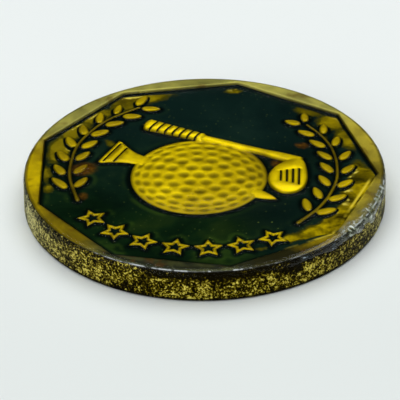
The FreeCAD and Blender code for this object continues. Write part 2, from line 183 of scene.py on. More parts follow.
# ============================================================================
# Artwork outlines
# ============================================================================
LEFT_STEM = R * np.array(
    [(-0.698, -0.250), (-0.721, -0.149), (-0.740, -0.047), (-0.745, 0.037), (-0.738, 0.130),
     (-0.721, 0.242), (-0.694, 0.334), (-0.652, 0.418), (-0.591, 0.511), (-0.517, 0.590),
     (-0.443, 0.646), (-0.359, 0.701)])
RIGHT_STEM = R * np.array(
    [(0.508, -0.508), (0.573, -0.432), (0.629, -0.353), (0.675, -0.260), (0.7075, -0.167),
     (0.729, -0.074), (0.735, 0.010), (0.7335, 0.084), (0.726, 0.159), (0.7075, 0.252),
     (0.680, 0.326), (0.6425, 0.400), (0.601, 0.460), (0.5775, 0.492)])
LEAVES = [
    (-0.800, -0.075, 127, 0.140, 0.056), (-0.802, 0.063, 117, 0.120, 0.058),
    (-0.784, 0.204, 118, 0.118, 0.060), (-0.742, 0.348, 110, 0.115, 0.058),
    (-0.672, 0.474, 97, 0.108, 0.056), (-0.580, 0.597, 83, 0.112, 0.052),
    (-0.480, 0.682, 74, 0.100, 0.048), (-0.345, 0.775, 60, 0.120, 0.054),
    (-0.680, -0.070, 55, 0.122, 0.054), (-0.683, 0.065, 50, 0.120, 0.052),
    (-0.672, 0.200, 47, 0.118, 0.056), (-0.636, 0.320, 38, 0.118, 0.058),
    (-0.579, 0.437, 25, 0.116, 0.058), (-0.497, 0.534, 15, 0.114, 0.054),
    (-0.400, 0.608, -1, 0.112, 0.054), (-0.294, 0.685, -5, 0.110, 0.050),
    (0.664, -0.398, 20, 0.122, 0.062), (0.730, -0.264, 27, 0.112, 0.058),
    (0.775, -0.120, 38, 0.112, 0.056), (0.795, 0.027, 48, 0.112, 0.054),
    (0.783, 0.168, 56, 0.108, 0.054), (0.736, 0.317, 76, 0.104, 0.052),
    (0.669, 0.447, 88, 0.100, 0.050), (0.566, 0.572, 94, 0.096, 0.050),
    (0.558, -0.330, 100, 0.132, 0.056), (0.620, -0.213, 107, 0.126, 0.054),
    (0.660, -0.088, 118, 0.126, 0.054), (0.675, 0.045, 123, 0.128, 0.054),
    (0.667, 0.171, 134, 0.122, 0.052), (0.630, 0.293, 141, 0.120, 0.052),
    (0.571, 0.404, 150, 0.112, 0.050), (0.497, 0.519, 158, 0.100, 0.050),
]


def band(line, w0, w1):
    """A stem's outline with round ends."""
    line = catmull(line, 6)
    n = len(line)
    t = np.gradient(line, axis=0)
    t /= np.hypot(t[:, 0], t[:, 1])[:, None]
    nrm = np.column_stack([-t[:, 1], t[:, 0]])
    w = np.linspace(w0, w1, n)
    w[:3] *= (1.18, 1.12, 1.05)
    left, right = line + nrm * w[:, None], line - nrm * w[:, None]

    def cap(c, d, r):
        a0 = math.atan2(d[1], d[0])
        return np.array([(c[0] + r * math.cos(a0 + a), c[1] + r * math.sin(a0 + a)) for a in (0.9, 0.3, -0.3, -0.9)])
    return ccw(np.concatenate([left, cap(line[-1], t[-1], w[-1]), right[::-1], cap(line[0], -t[0], w[0])]))


def leaf_outline(x, y, direction, length, width, plump):
    """A leaf: widest below its middle, its tip drawn to a soft point."""
    a, hw = length * R / 2, width * R / 2
    s = np.linspace(0, math.pi, 15)
    u = -np.cos(s)
    w = hw * np.sin(s) ** (0.92 if plump else 1.05) * (1 - 0.16 * u) * 1.04
    w[0] = w[-1] = 0
    upper = np.column_stack([u * a, w])
    lower = np.column_stack([u * a, -w])[::-1][1:-1]
    p = np.concatenate([lower[::-1], upper[::-1]])[::1]
    p = np.concatenate([upper, lower])
    c, si = math.cos(math.radians(direction)), math.sin(math.radians(direction))
    return ccw(np.column_stack([x * R + p[:, 0] * c - p[:, 1] * si, y * R + p[:, 0] * si + p[:, 1] * c]))


BALL = np.array([-0.38, -0.42])
RB = 4.80
HEEL = np.array([0.520 * R, 0.115 * R])
SHAFT_A, TOE_A = math.radians(154.6), math.radians(268.0)
SHAFT_LEN, GRIP_LEN = 11.75, 4.55
SHAFT_U = np.array([math.cos(SHAFT_A), math.sin(SHAFT_A)])
SHAFT_N = np.array([-math.sin(SHAFT_A), math.cos(SHAFT_A)])


def along(d, side=0.0):
    return HEEL + SHAFT_U * d + SHAFT_N * side


def head_point(u, w):
    t = np.array([math.cos(TOE_A), math.sin(TOE_A)])
    c = np.array([t[1], -t[0]])
    return HEEL + t * u + c * w


HEAD = ccw(catmull([head_point(u, w) for u, w in [
    (-0.45, 0.10), (0.05, -0.42), (1.10, -0.66), (2.40, -0.70), (3.40, -0.48), (4.05, 0.10),
    (4.15, 0.85), (3.75, 1.55), (2.95, 1.98), (1.95, 2.05), (1.05, 1.75), (0.25, 1.10)]], 5, True))
SHAFT = ccw(np.array([along(-0.2, 0.46), along(1.6, 0.44), along(2.6, 0.34), along(SHAFT_LEN - GRIP_LEN + 0.1, 0.31),
                      along(SHAFT_LEN - GRIP_LEN + 0.1, -0.31), along(2.6, -0.34), along(1.6, -0.44), along(-0.2, -0.46)]))
_ga = np.linspace(-math.pi / 2, math.pi / 2, 9)
GRIP = ccw(np.concatenate([
    np.array([along(SHAFT_LEN - GRIP_LEN, -0.44)]),
    np.array([along(SHAFT_LEN - 0.30 + 0.30 * math.cos(a), 0.64 * math.sin(a)) for a in _ga]),
    np.array([along(SHAFT_LEN - GRIP_LEN, 0.44)])]))
TEE_A = math.radians(151.0)
TEE_U = np.array([math.cos(TEE_A), math.sin(TEE_A)])
TEE_N = np.array([-math.sin(TEE_A), math.cos(TEE_A)])


def tee_point(d, side):
    return BALL + TEE_U * d + TEE_N * side


TEE_CUP = ccw(np.concatenate([
    np.array([tee_point(3.6, -0.60)]),
    catmull([tee_point(4.4, -0.62), tee_point(5.3, -0.74), tee_point(6.2, -1.12), tee_point(6.85, -1.52)], 5),
    np.array([tee_point(7.2, -1.55), tee_point(7.2, 1.55)]),
    catmull([tee_point(6.85, 1.52), tee_point(6.2, 1.12), tee_point(5.3, 0.74), tee_point(4.4, 0.62)], 5),
    np.array([tee_point(3.6, 0.60)])]))
TEE_TIP = ccw(np.array([tee_point(-3.6, -0.60), tee_point(-5.0, -0.50), tee_point(-5.7, -0.26), tee_point(-6.15, 0.0),
                        tee_point(-5.7, 0.26), tee_point(-5.0, 0.50), tee_point(-3.6, 0.60)]))


def star(cx, cy, turn, outer, waist):
    return ccw(np.array([
        (cx + (outer if k % 2 == 0 else waist) * math.cos(math.radians(turn + 36 * k)),
         cy + (outer if k % 2 == 0 else waist) * math.sin(math.radians(turn + 36 * k))) for k in range(10)]))


STAR_O, STAR_W, STROKE = 1.12, 0.56, 0.27
_edge = STAR_O * STAR_W * math.sin(math.radians(36)) / math.sqrt(
    STAR_O ** 2 + STAR_W ** 2 - 2 * STAR_O * STAR_W * math.cos(math.radians(36)))
HOLE = (_edge - STROKE) / _edge
STARS, STAR_HOLES, STAR_C = [], [], []
for k in range(7):
    a = 215.2 + 14.0 * k
    cx, cy = 9.40 * math.cos(math.radians(a)), 9.40 * math.sin(math.radians(a))
    STARS.append(star(cx, cy, a + 180, STAR_O, STAR_W))
    STAR_HOLES.append(star(cx, cy, a + 180, STAR_O * HOLE, STAR_W * HOLE))
    STAR_C.append((cx, cy))

NONAGON = np.array([(NONAGON_R * math.cos(math.radians(NONAGON_PHASE + 40 * k)),
                     NONAGON_R * math.sin(math.radians(NONAGON_PHASE + 40 * k))) for k in range(9)])


def strip(p, q, width):
    d = (q - p) / np.hypot(*(q - p))
    n = np.array([-d[1], d[0]]) * width / 2
    return ccw(np.array([p + n, q + n, q - n, p - n]))


FACE_LINES = [strip(head_point(1.25 + 0.10 * k, -0.10 + 0.42 * k), head_point(3.25 - 0.12 * k, -0.10 + 0.42 * k), 0.11)
              for k in range(4)]
GRIP_LINES = [strip(along(SHAFT_LEN - GRIP_LEN + 0.55 + 0.56 * k, 0.60),
                    along(SHAFT_LEN - GRIP_LEN + 0.37 + 0.56 * k, -0.60), 0.11) for k in range(7)]
TEE_LINES = [strip(tee_point(6.86, 1.28), tee_point(6.86, -1.28), 0.10),
             strip(tee_point(6.20, 0.98), tee_point(6.20, -0.98), 0.10)]

# Dimples in rings, as on a sphere seen from above: (x, y, ring angle, direction, size)
DIMPLES = []
for ring in range(0, 7):
    th = math.radians(12.6 * ring)
    rr = RB * math.sin(th)
    count = 1 if ring == 0 else int(round(2 * math.pi * math.sin(th) / math.radians(12.9)))
    for k in range(count):
        a = 2 * math.pi * (k + 0.5 * (ring % 2)) / count + 0.35 + 0.11 * ring
        if rr < RB * 0.965:
            DIMPLES.append((BALL[0] + rr * math.cos(a), BALL[1] + rr * math.sin(a), th, a, 0.43))

# ============================================================================
# Points of the struck face, dense along the artwork's edges
# ============================================================================
groups = []
EDGE = (-0.42, -0.27, -0.15, -0.07, 0.0, 0.045, 0.10)
leaf_polys = [leaf_outline(*leaf, plump=i < 8 or 16 <= i < 24) for i, leaf in enumerate(LEAVES)]
stem_polys = [band(LEFT_STEM, 0.175, 0.115), band(RIGHT_STEM, 0.175, 0.115)]
for poly in leaf_polys:
    groups.append(offsets(resample(poly, 0.12), poly, EDGE + (0.18, 0.27)))
for poly in stem_polys:
    groups.append(offsets(resample(poly, 0.13), poly, EDGE))
groups.append(resample(catmull(LEFT_STEM, 6), 0.13, False))
groups.append(resample(catmull(RIGHT_STEM, 6), 0.13, False))
for i in range(7):
    groups.append(offsets(resample(STARS[i], 0.11), STARS[i], (-0.42, -0.27, -0.15, -0.07, 0.0, 0.04, 0.085, 0.135)))
    groups.append(offsets(resample(STAR_HOLES[i], 0.09), STAR_HOLES[i], (-0.085, -0.04, 0.0, 0.05, 0.11)))
_a = np.linspace(0, 2 * math.pi, 240, endpoint=False)
BALL_POLY = np.column_stack([BALL[0] + RB * np.cos(_a), BALL[1] + RB * np.sin(_a)])
groups.append(offsets(BALL_POLY, BALL_POLY, EDGE + (0.2, 0.34)))
for poly, step in ((HEAD, 0.13), (SHAFT, 0.15), (GRIP, 0.13), (TEE_CUP, 0.14), (TEE_TIP, 0.14)):
    groups.append(offsets(resample(poly, step), poly, EDGE + (0.18, 0.28)))
for poly in FACE_LINES + GRIP_LINES + TEE_LINES:
    groups.append(offsets(resample(poly, 0.12), poly, (-0.05, 0.0)))
    mid = (poly[0] + poly[3]) / 2, (poly[1] + poly[2]) / 2
groups.append(offsets(resample(NONAGON, 0.16), NONAGON, (-0.34, -0.2, -0.1, -0.05, 0.0, 0.06, 0.14, 0.28, 0.45)))
for dx, dy, th, a, size in DIMPLES:
    ca, sa, cth = math.cos(a), math.sin(a), max(math.cos(th), 0.22)
    for q, m in ((1.12, 14), (0.96, 14), (0.6, 8), (0.0, 1)):
        b = np.arange(m) / m * 2 * math.pi
        u, v = q * size * cth * np.cos(b), q * size * np.sin(b)
        groups.append(np.column_stack([dx + u * ca - v * sa, dy + u * sa + v * ca]))

# an even spread between
step = 0.26
gx, gy = np.meshgrid(np.arange(-12.2, 12.2, step), np.arange(-12.2, 12.2, step * 0.866))
gx = gx + (np.arange(gx.shape[0]) % 2)[:, None] * step / 2
spread = np.column_stack([gx.ravel(), gy.ravel()])
spread += rng.uniform(-0.05, 0.05, spread.shape)
spread = spread[np.hypot(spread[:, 0], spread[:, 1]) < 11.93]

fine = np.concatenate(groups)
fine = fine[np.hypot(fine[:, 0], fine[:, 1]) < 12.08]


def thin_out(points, cell):
    key = np.floor(points / cell).astype(np.int64)
    _, first = np.unique(key[:, 0] * 100003 + key[:, 1], return_index=True)
    return points[np.sort(first)]


fine = thin_out(fine, 0.036)
# keep the even spread away from the fine points
cells = set(map(tuple, np.floor(fine / 0.13).astype(int).tolist()))
keep = []
for i, (cx, cy) in enumerate(np.floor(spread / 0.13).astype(int).tolist()):
    if not any((cx + a, cy + b) in cells for a in (-1, 0, 1) for b in (-1, 0, 1)):
        keep.append(i)
spread = spread[keep]
ring_a = np.arange(N_RING) / N_RING * 2 * math.pi
ring0 = np.column_stack([R_TOP * np.cos(ring_a), R_TOP * np.sin(ring_a)])
ring1 = 12.10 * np.column_stack([np.cos(ring_a[::2] + 0.003), np.sin(ring_a[::2] + 0.003)])
ring2 = 12.01 * np.column_stack([np.cos(ring_a[::3]), np.sin(ring_a[::3])])
fine = fine[np.hypot(fine[:, 0], fine[:, 1]) < 11.97]
P = np.concatenate([ring0, ring1, ring2, fine, spread])
out = delaunay_2d_cdt([Vector(q) for q in P.tolist()], [], [], 0, 1e-5)
P = np.array([(q[0], q[1]) for q in out[0]])
T = np.array([f for f in out[2] if len(f) == 3])
a, b, c = P[T[:, 0]], P[T[:, 1]], P[T[:, 2]]
area = 0.5 * ((b[:, 0] - a[:, 0]) * (c[:, 1] - a[:, 1]) - (b[:, 1] - a[:, 1]) * (c[:, 0] - a[:, 0]))
T[area < 0] = T[area < 0][:, ::-1]
T = T[np.abs(area) > 1e-7]
rad = np.hypot(P[:, 0], P[:, 1])
RING = np.where(rad > R_TOP - 1e-4)[0]
RING = RING[np.argsort(np.mod(np.arctan2(P[RING, 1], P[RING, 0]) + 1e-6, 2 * math.pi))]
assert len(RING) == N_RING, len(RING)
P3 = flat3(P)
print("face points", len(P), "triangles", len(T))

# ============================================================================
# Heights of the struck brass
# ============================================================================
def rise(d, foot=0.62, draft=0.055, rnd=0.11):
    """Share of a shape's height at a distance inside its edge: a steep wall, then a rounded shoulder."""
    up = np.clip((d + draft) / draft, 0, 1) * foot
    t = np.clip(d / rnd, 0, 1)
    return np.where(d < 0, up, foot + (1 - foot) * np.sqrt(np.maximum(1 - (1 - t) ** 2, 0)))


height = np.zeros(len(P))            # above the floor
inner = np.full(len(P), -9.0)        # distance inside the nearest piece of artwork
art = np.full(len(P), -9.0)          # the same without the rim
kind = np.zeros(len(P), int)         # 1 leaf, 2 stem, 3 star, 4 tee, 5 ball, 6 club, 7 rim


def add(h, d, k):
    global height, inner, art
    higher = h > height
    kind[higher & (d > -0.05)] = k
    height = np.maximum(height, h)
    inner = np.maximum(inner, d)
    if k != 7:
        art = np.maximum(art, d)


vein = np.zeros(len(P))
for (x, y, direction, length, width), poly in zip(LEAVES, leaf_polys):
    d = signed(P, poly)
    near = d > -0.3
    hw = width * R / 2
    c, s = math.cos(math.radians(direction)), math.sin(math.radians(direction))
    u = (P[:, 0] - x * R) * c + (P[:, 1] - y * R) * s
    v = -(P[:, 0] - x * R) * s + (P[:, 1] - y * R) * c
    t = np.clip(d / hw, 0, 1)
    crown = 0.060 * np.sqrt(np.maximum(1 - (1 - t) ** 2, 0))
    rib = 0.020 * np.exp(-(v / 0.05) ** 2) * smooth(-np.abs(u), -0.42 * length * R, -0.20 * length * R)
    h = np.where(d > -0.06, rise(d) * (0.43 + crown * 0.9) - rib * (d > 0.02), 0)
    add(np.where(near, h, 0), d, 1)

for poly in stem_polys:
    d = signed(P, poly)
    t = np.clip(d / 0.16, 0, 1)
    add(np.where(d > -0.06, rise(d, rnd=0.09) * (0.40 + 0.06 * np.sqrt(np.maximum(1 - (1 - t) ** 2, 0))), 0), d, 2)

for i in range(7):
    d = np.minimum(signed(P, STARS[i]), -signed(P, STAR_HOLES[i], reach=3.0))
    d = np.where(signed(P, STARS[i]) < -8, -9, d)
    t = np.clip(d / 0.13, 0, 1)
    add(np.where(d > -0.06, rise(d, rnd=0.07) * (0.44 + 0.03 * t), 0), d, 3)

for poly in (TEE_CUP, TEE_TIP):
    d = signed(P, poly)
    t = np.clip(d / 0.7, 0, 1)
    add(np.where(d > -0.06, rise(d) * (0.41 + 0.07 * np.sqrt(np.maximum(1 - (1 - t) ** 2, 0))), 0), d, 4)

d_ball = RB - np.hypot(P[:, 0] - BALL[0], P[:, 1] - BALL[1])
t = np.clip(d_ball / RB, 0, 1)
dome = 0.43 + 0.19 * (1 - (1 - t) ** 2.6)
dent = np.zeros(len(P))
for dx, dy, th, a, size in DIMPLES:
    near = np.where(np.abs(P[:, 0] - dx) + np.abs(P[:, 1] - dy) < 1.0)[0]
    ca, sa, cth = math.cos(a), math.sin(a), max(math.cos(th), 0.22)
    X, Y = P[near, 0] - dx, P[near, 1] - dy
    q = np.hypot((X * ca + Y * sa) / (size * cth), (-X * sa + Y * ca) / size)
    dent[near] = np.maximum(dent[near], (0.035 + 0.03 * cth) * np.clip(1.04 - q ** 2, 0, 1) ** 0.8)
ball_h = np.where(d_ball > -0.06, rise(d_ball, rnd=0.22) * dome, 0)
add(ball_h - dent * (d_ball > 0.12), np.where(d_ball < -3, -9, d_ball), 5)

under = np.where(d_ball > -0.3, rise(d_ball + 0.3, rnd=0.8) * (dome - 0.02), 0.40)
d = signed(P, SHAFT)
t = np.clip(d / 0.33, 0, 1)
add(np.where(d > -0.06, rise(d, foot=0.75) * (np.maximum(under, 0.42) + 0.055 + 0.13 * np.sqrt(np.maximum(1 - (1 - t) ** 2, 0))), 0), d, 6)
d_grip = signed(P, GRIP)
t = np.clip(d_grip / 0.55, 0, 1)
add(np.where(d_grip > -0.06, rise(d_grip, foot=0.75) * (np.maximum(under, 0.42) + 0.075 + 0.17 * np.sqrt(np.maximum(1 - (1 - t) ** 2, 0))), 0), d_grip, 6)
d_head = signed(P, HEAD)
t = np.clip(d_head / 1.15, 0, 1)
add(np.where(d_head > -0.06, rise(d_head, foot=0.7) * (0.46 + 0.22 * np.sqrt(np.maximum(1 - (1 - t) ** 2, 0))), 0), d_head, 6)

d_non = signed(P, NONAGON, reach=30.0)
rim_h = rise(-d_non, foot=0.80, draft=0.05, rnd=0.10) * (RIM - FLOOR)
add(np.where(d_non < 0.06, rim_h, 0), -d_non, 7)

# cut lines
cut = np.zeros(len(P))
for poly in FACE_LINES + GRIP_LINES + TEE_LINES:
    d = signed(P, poly)
    cut = np.maximum(cut, np.clip((d + 0.045) / 0.07, 0, 1))
line_floor = height - 0.105
height = height - 0.105 * cut * (height > 0.35)
Z = FLOOR + height
# the strike is never perfect: faint swells in the metal, and hammered-out streaks on the rim
Z += np.where(kind == 7, 0.010, 0.004) * fbm(P3, 1.4, 3, 5) * (height > 0.2)
field = np.minimum(0.0, inner)        # 0 on artwork, minus the distance from it in the field
DIST = -field

# ============================================================================
# The enamel's surface: it sags a little between walls and creeps up them
# ============================================================================
def inside_at(Q):
    """Distance inside the artwork or the rim at other points."""
    best = RB - np.hypot(Q[:, 0] - BALL[0], Q[:, 1] - BALL[1])
    for poly in leaf_polys + stem_polys + [TEE_CUP, TEE_TIP, SHAFT, GRIP, HEAD]:
        best = np.maximum(best, signed(Q, poly, reach=0.8))
    for i in range(7):
        best = np.maximum(best, np.minimum(signed(Q, STARS[i], reach=0.8), -signed(Q, STAR_HOLES[i], reach=3.0)))
    return np.maximum(best, -signed(Q, NONAGON, reach=30.0))


# painted shade: the walls' shade is painted on the enamel on their near side, and a painted glint runs along the
# enamel's edge beyond that shade
LEE = [inside_at(P + np.array(s)) for s in ((0.02, 0.16), (0.04, 0.32), (-0.05, 0.46))]
shade = np.maximum(smooth(LEE[0], -0.10, 0.05), 0.92 * smooth(LEE[1], -0.10, 0.05))
glint = np.exp(-(LEE[2] / 0.040) ** 2) * smooth(fbm(P3, 0.55, 3, 411), -0.05, 0.25)
beyond = inside_at(P + np.array((-0.02, -0.22)))
# on the far side of each wall the painted shadow line is made narrower
behind = 0.16 * smooth(beyond, -0.12, 0.06)
creep = 0.055 * np.exp(-DIST / 0.13) + 0.010 * np.exp(-((DIST - 0.42) / 0.13) ** 2)
sag = -0.030 * smooth(DIST, 0.1, 2.2)
ZE = LEVEL + creep + sag + 0.006 * fbm(P3, 1.1, 2, 31)

# places where the enamel is thin enough for the brass to show, as soft fields
def blob(x, y, rx, ry, turn=0.0):
    c, s = math.cos(math.radians(turn)), math.sin(math.radians(turn))
    X, Y = P[:, 0] / R - x, P[:, 1] / R - y
    return np.exp(-(((X * c + Y * s) / rx) ** 2 + ((-X * s + Y * c) / ry) ** 2))


TH = -np.degrees(np.arctan2(-P[:, 1], P[:, 0]))
thin = np.zeros(len(P))
# along the lower right edge of the field, outside the right branch
arc = np.mod(np.degrees(np.arctan2(P[:, 1], P[:, 0])) + 180, 360) - 180
band_lr = smooth(arc, -60, -49) * (1 - smooth(arc, -3, 7))
thin = np.maximum(thin, 1.15 * band_lr * smooth(rad / R, 0.775, 0.86))
thin = np.maximum(thin, 1.0 * blob(0.60, -0.60, 0.13, 0.060, 32))
thin = np.maximum(thin, 0.95 * blob(0.47, -0.66, 0.07, 0.045, 20))
thin = np.maximum(thin, 1.0 * blob(0.70, -0.50, 0.10, 0.06, 60))
thin = np.maximum(thin, 1.0 * blob(0.84, -0.02, 0.05, 0.13, -4))
thin = np.maximum(thin, 0.9 * blob(0.80, -0.20, 0.05, 0.08, -10))
thin = thin * (1 - 1.0 * np.clip(1.5 * blob(0.567, -0.675, 0.115, 0.024, 23), 0, 1)) * (1 - 0.7 * blob(0.80, -0.40, 0.02, 0.12, -32))
thin = np.maximum(thin, 0.55 * blob(0.31, -0.755, 0.06, 0.022, 10))
# the upper right
thin = np.maximum(thin, 0.80 * blob(0.80, 0.34, 0.06, 0.13, 24))
thin = np.maximum(thin, 0.95 * blob(0.72, 0.53, 0.09, 0.09, 20))
thin = np.maximum(thin, 0.85 * blob(0.60, 0.64, 0.09, 0.05, -20))
thin = np.maximum(thin, 0.65 * blob(0.66, 0.37, 0.03, 0.05, 20))
# outside the left branch, and the top left
thin = np.maximum(thin, 1.05 * blob(-0.80, 0.28, 0.06, 0.14, -12))
thin = np.maximum(thin, 1.05 * blob(-0.72, 0.46, 0.06, 0.11, -35))
thin = np.maximum(thin, 1.00 * blob(-0.60, 0.62, 0.10, 0.06, 40))
thin = np.maximum(thin, 0.70 * blob(-0.88, 0.02, 0.04, 0.10, 0))
thin = np.maximum(thin, 0.62 * blob(-0.86, -0.12, 0.04, 0.05, 0))
thin = np.maximum(thin, 1.15 * blob(-0.38, 0.80, 0.19, 0.065, 12))
thin = np.maximum(thin, 0.90 * blob(-0.44, 0.72, 0.10, 0.05, 24))
thin = np.maximum(thin, 0.60 * blob(-0.52, 0.66, 0.04, 0.04, 0))
thin = np.maximum(thin, 0.72 * blob(0.17, 0.87, 0.06, 0.025, 0))
thin = np.maximum(thin, 0.60 * blob(-0.52, 0.33, 0.03, 0.05, 30))
# the lower right edge of the field stays bright: the dark edge and the painted shadow line are left out there, and two
# painted highlight lines run along it
gold_edge = smooth(arc, -62, -50) * (1 - smooth(arc, -7, -2))
rim_gap = d_non + 0.55 * gold_edge * (d_non > 0) * smooth(-art, 0.2, 0.5)
far_edge = smooth(arc, 48, 62) * (1 - smooth(arc, 140, 160))
shine = gold_edge * (np.exp(-((d_non - 0.30) / 0.055) ** 2) + 0.9 * np.exp(-((d_non + 0.05) / 0.05) ** 2))
shine = shine * smooth(fbm(P3, 1.3, 3, 433), -0.25, 0.25)
stain = np.zeros(len(P))
for x, y, rx, ry, turn, s in ((0.545, 0.285, 0.05, 0.035, -30, 1.0), (-0.665, 0.075, 0.085, 0.070, 30, 1.1),
                              (-0.665, -0.205, 0.035, 0.05, 0, 0.85), (-0.70, -0.10, 0.05, 0.04, 0, 0.5),
                              (0.40, 0.10, 0.05, 0.05, 0, 0.8), (0.25, -0.74, 0.05, 0.05, 0, 0.45),
                              (0.34, 0.18, 0.06, 0.04, 20, 0.5), (-0.50, 0.20, 0.04, 0.05, 0, 0.35)):
    stain = np.maximum(stain, s * blob(x, y, rx, ry, turn))
# how bright the metal is: it differs from piece to piece, and along the rim it is darkest at the front and brightest on
# the left and at the back right; painted light and shade on the ball and painted highlight lines at the lower right are
# added below
RIM_TONE = [(-180, 0.80), (-167, 0.56), (-150, 0.50), (-136, 0.42), (-121, 0.22), (-95, 0.12), (-80, 0.02), (-68, -0.10), (-60, 0.10),
            (-50, 0.34), (-38, 0.52), (-24, 0.42), (-11, 0.52), (1, 0.28), (14, 0.60), (24, 0.82), (42, 1.02), (60, 0.72), (72, 0.84),
            (88, 0.64), (108, 0.78), (122, 0.66), (134, 0.72), (148, 0.58), (160, 0.60), (170, 0.66), (180, 0.80)]


def rim_tone(angle):
    return np.interp(angle, [k for k, _ in RIM_TONE], [v for _, v in RIM_TONE])


def rim_grey(angle):
    far = (0.45 * smooth(angle, -12, 10) + 0.55 * smooth(angle, 22, 45)) * (1 - smooth(angle, 150, 168))
    near = smooth(angle, -138, -120) * (1 - smooth(angle, -82, -70))
    low_right = smooth(angle, -48, -38) * (1 - smooth(angle, -12, 4))
    return 0.72 * far + 0.80 * near + 0.30 * low_right


# the rim is darker under the thick edge of the coat, at the front
under_bead = smooth(rad, 11.95, 12.08) * smooth(arc, -132, -120) * (1 - smooth(arc, -52, -42)) * smooth(fbm(P3, 0.8, 3, 721), -0.45, -0.05)
left_rim = smooth(np.abs(arc), 148, 160)
foxing = left_rim * np.exp(-np.maximum(-d_non, 0) / 0.30) * smooth(fbm(P3, 0.7, 3, 711), -0.3, 0.2)
foxing = np.maximum(foxing, 0.8 * smooth(fbm(P3, 1.1, 3, 713), 0.28, 0.5))
foxing = foxing * (kind == 7)
bright = np.full(len(P), 0.5)
bright[kind == 1] = 0.60
bright[kind == 2] = 0.36
bright[kind == 3] = 0.62
# painted light and shade on the ball: lighter towards its left, darker towards its right and its front
ball_shade = 0.72 + 0.20 * smooth(-P[:, 0] + 0.4 * P[:, 1], -3.0, 3.5) - 0.10 * smooth(-P[:, 1], 2.0, 5.0)
bright[kind == 5] = ball_shade[kind == 5]
bright[kind == 6] = 0.94
bright[kind == 4] = 0.84
bright[kind == 7] = rim_tone(arc[kind == 7])
bright = bright * (1 + 0.16 * fbm(P3, 1.2, 3, 300))
# painted highlight lines along the lower right edge of the rim
bright = np.where(kind == 7, bright + 0.7 * shine, bright)
bright = bright - 0.30 * under_bead * (kind == 7)
grey = np.where(kind == 7, rim_grey(arc), 0.0)
tone = np.clip(0.5 + 0.9 * (-P[:, 1] / R - 0.18) - 0.35 * (P[:, 0] / R) + 0.25 * fbm(P3, 4.0, 2, 77), 0, 1)
tone = np.clip(tone * (1 - 0.75 * smooth(P[:, 0] / R, 0.10, 0.42)), 0, 1)
tone = np.clip(tone + 0.5 * blob(-0.12, -0.52, 0.42, 0.10, -4) + 0.35 * blob(-0.62, -0.42, 0.12, 0.2, 0), 0, 1)

# ============================================================================
# Mesh helpers
# ============================================================================
def mesh_object(name, verts, faces, mats, index=None, smooth_faces=True):
    me = bpy.data.meshes.new(name)
    faces = [tuple(f) for f in faces] if not isinstance(faces, np.ndarray) else faces
    if isinstance(faces, np.ndarray):
        n, k = faces.shape
        me.vertices.add(len(verts))
        me.vertices.foreach_set("co", np.asarray(verts, np.float32).ravel())
        me.loops.add(n * k)
        me.loops.foreach_set("vertex_index", faces.astype(np.int32).ravel())
        me.polygons.add(n)
        me.polygons.foreach_set("loop_start", np.arange(n, dtype=np.int32) * k)
        me.polygons.foreach_set("loop_total", np.full(n, k, np.int32))
    else:
        me.from_pydata([tuple(v) for v in verts], [], faces)
    for m in mats:
        me.materials.append(m)
    if index is not None:
        me.polygons.foreach_set("material_index", np.asarray(index, np.int32))
    me.polygons.foreach_set("use_smooth", np.full(len(me.polygons), smooth_faces))
    me.update(calc_edges=True)
    me.validate(clean_customdata=False)
    ob = bpy.data.objects.new(name, me)
    bpy.context.scene.collection.objects.link(ob)
    return ob


def paint(ob, name, rgba):
    """A colour attribute on the points: up to four fields that the materials read."""
    at = ob.data.color_attributes.new(name, "FLOAT_COLOR", "POINT")
    n = len(ob.data.vertices)
    full = np.zeros((n, 4), np.float32)
    full[:, 3] = 1
    rgba = np.asarray(rgba, np.float32)
    full[:len(rgba), :rgba.shape[1]] = rgba
    at.data.foreach_set("color", full.ravel())


def tris(quads):
    q = np.asarray(quads)
    return np.concatenate([q[:, [0, 1, 2]], q[:, [0, 2, 3]]])


def ring_quads(first, second):
    """Quads between two rings of vertex indices, the second below or outside the first."""
    n = len(first)
    j = (np.arange(n) + 1) % n
    return np.column_stack([first, second, second[j], first[j]])


def submesh(keep_tri, z):
    """The face's triangles that pass a test, at another height: vertices, triangles, and which points they are."""
    t = T[keep_tri]
    used, inv = np.unique(t, return_inverse=True)
    return flat3(P[used]) + np.column_stack([np.zeros((len(used), 2)), z[used]]), inv.reshape(-1, 3), used


def close_down(name, verts, faces, z_bottom, mats):
    """A closed piece under a sheet: walls straight down from its border, and a flat bottom."""
    n = len(verts)
    e = np.concatenate([faces[:, [0, 1]], faces[:, [1, 2]], faces[:, [2, 0]]])
    key = {}
    for u, v in e.tolist():
        if (v, u) in key:
            del key[(v, u)]
        else:
            key[(u, v)] = 1
    low = verts.copy()
    low[:, 2] = z_bottom
    walls = []
    for u, v in key:
        walls.append((v, u, u + n))
        walls.append((v, u + n, v + n))
    ob = mesh_object(name, np.concatenate([verts, low]) * MM, np.concatenate([faces, np.array(walls), faces[:, ::-1] + n]), mats)
    return ob


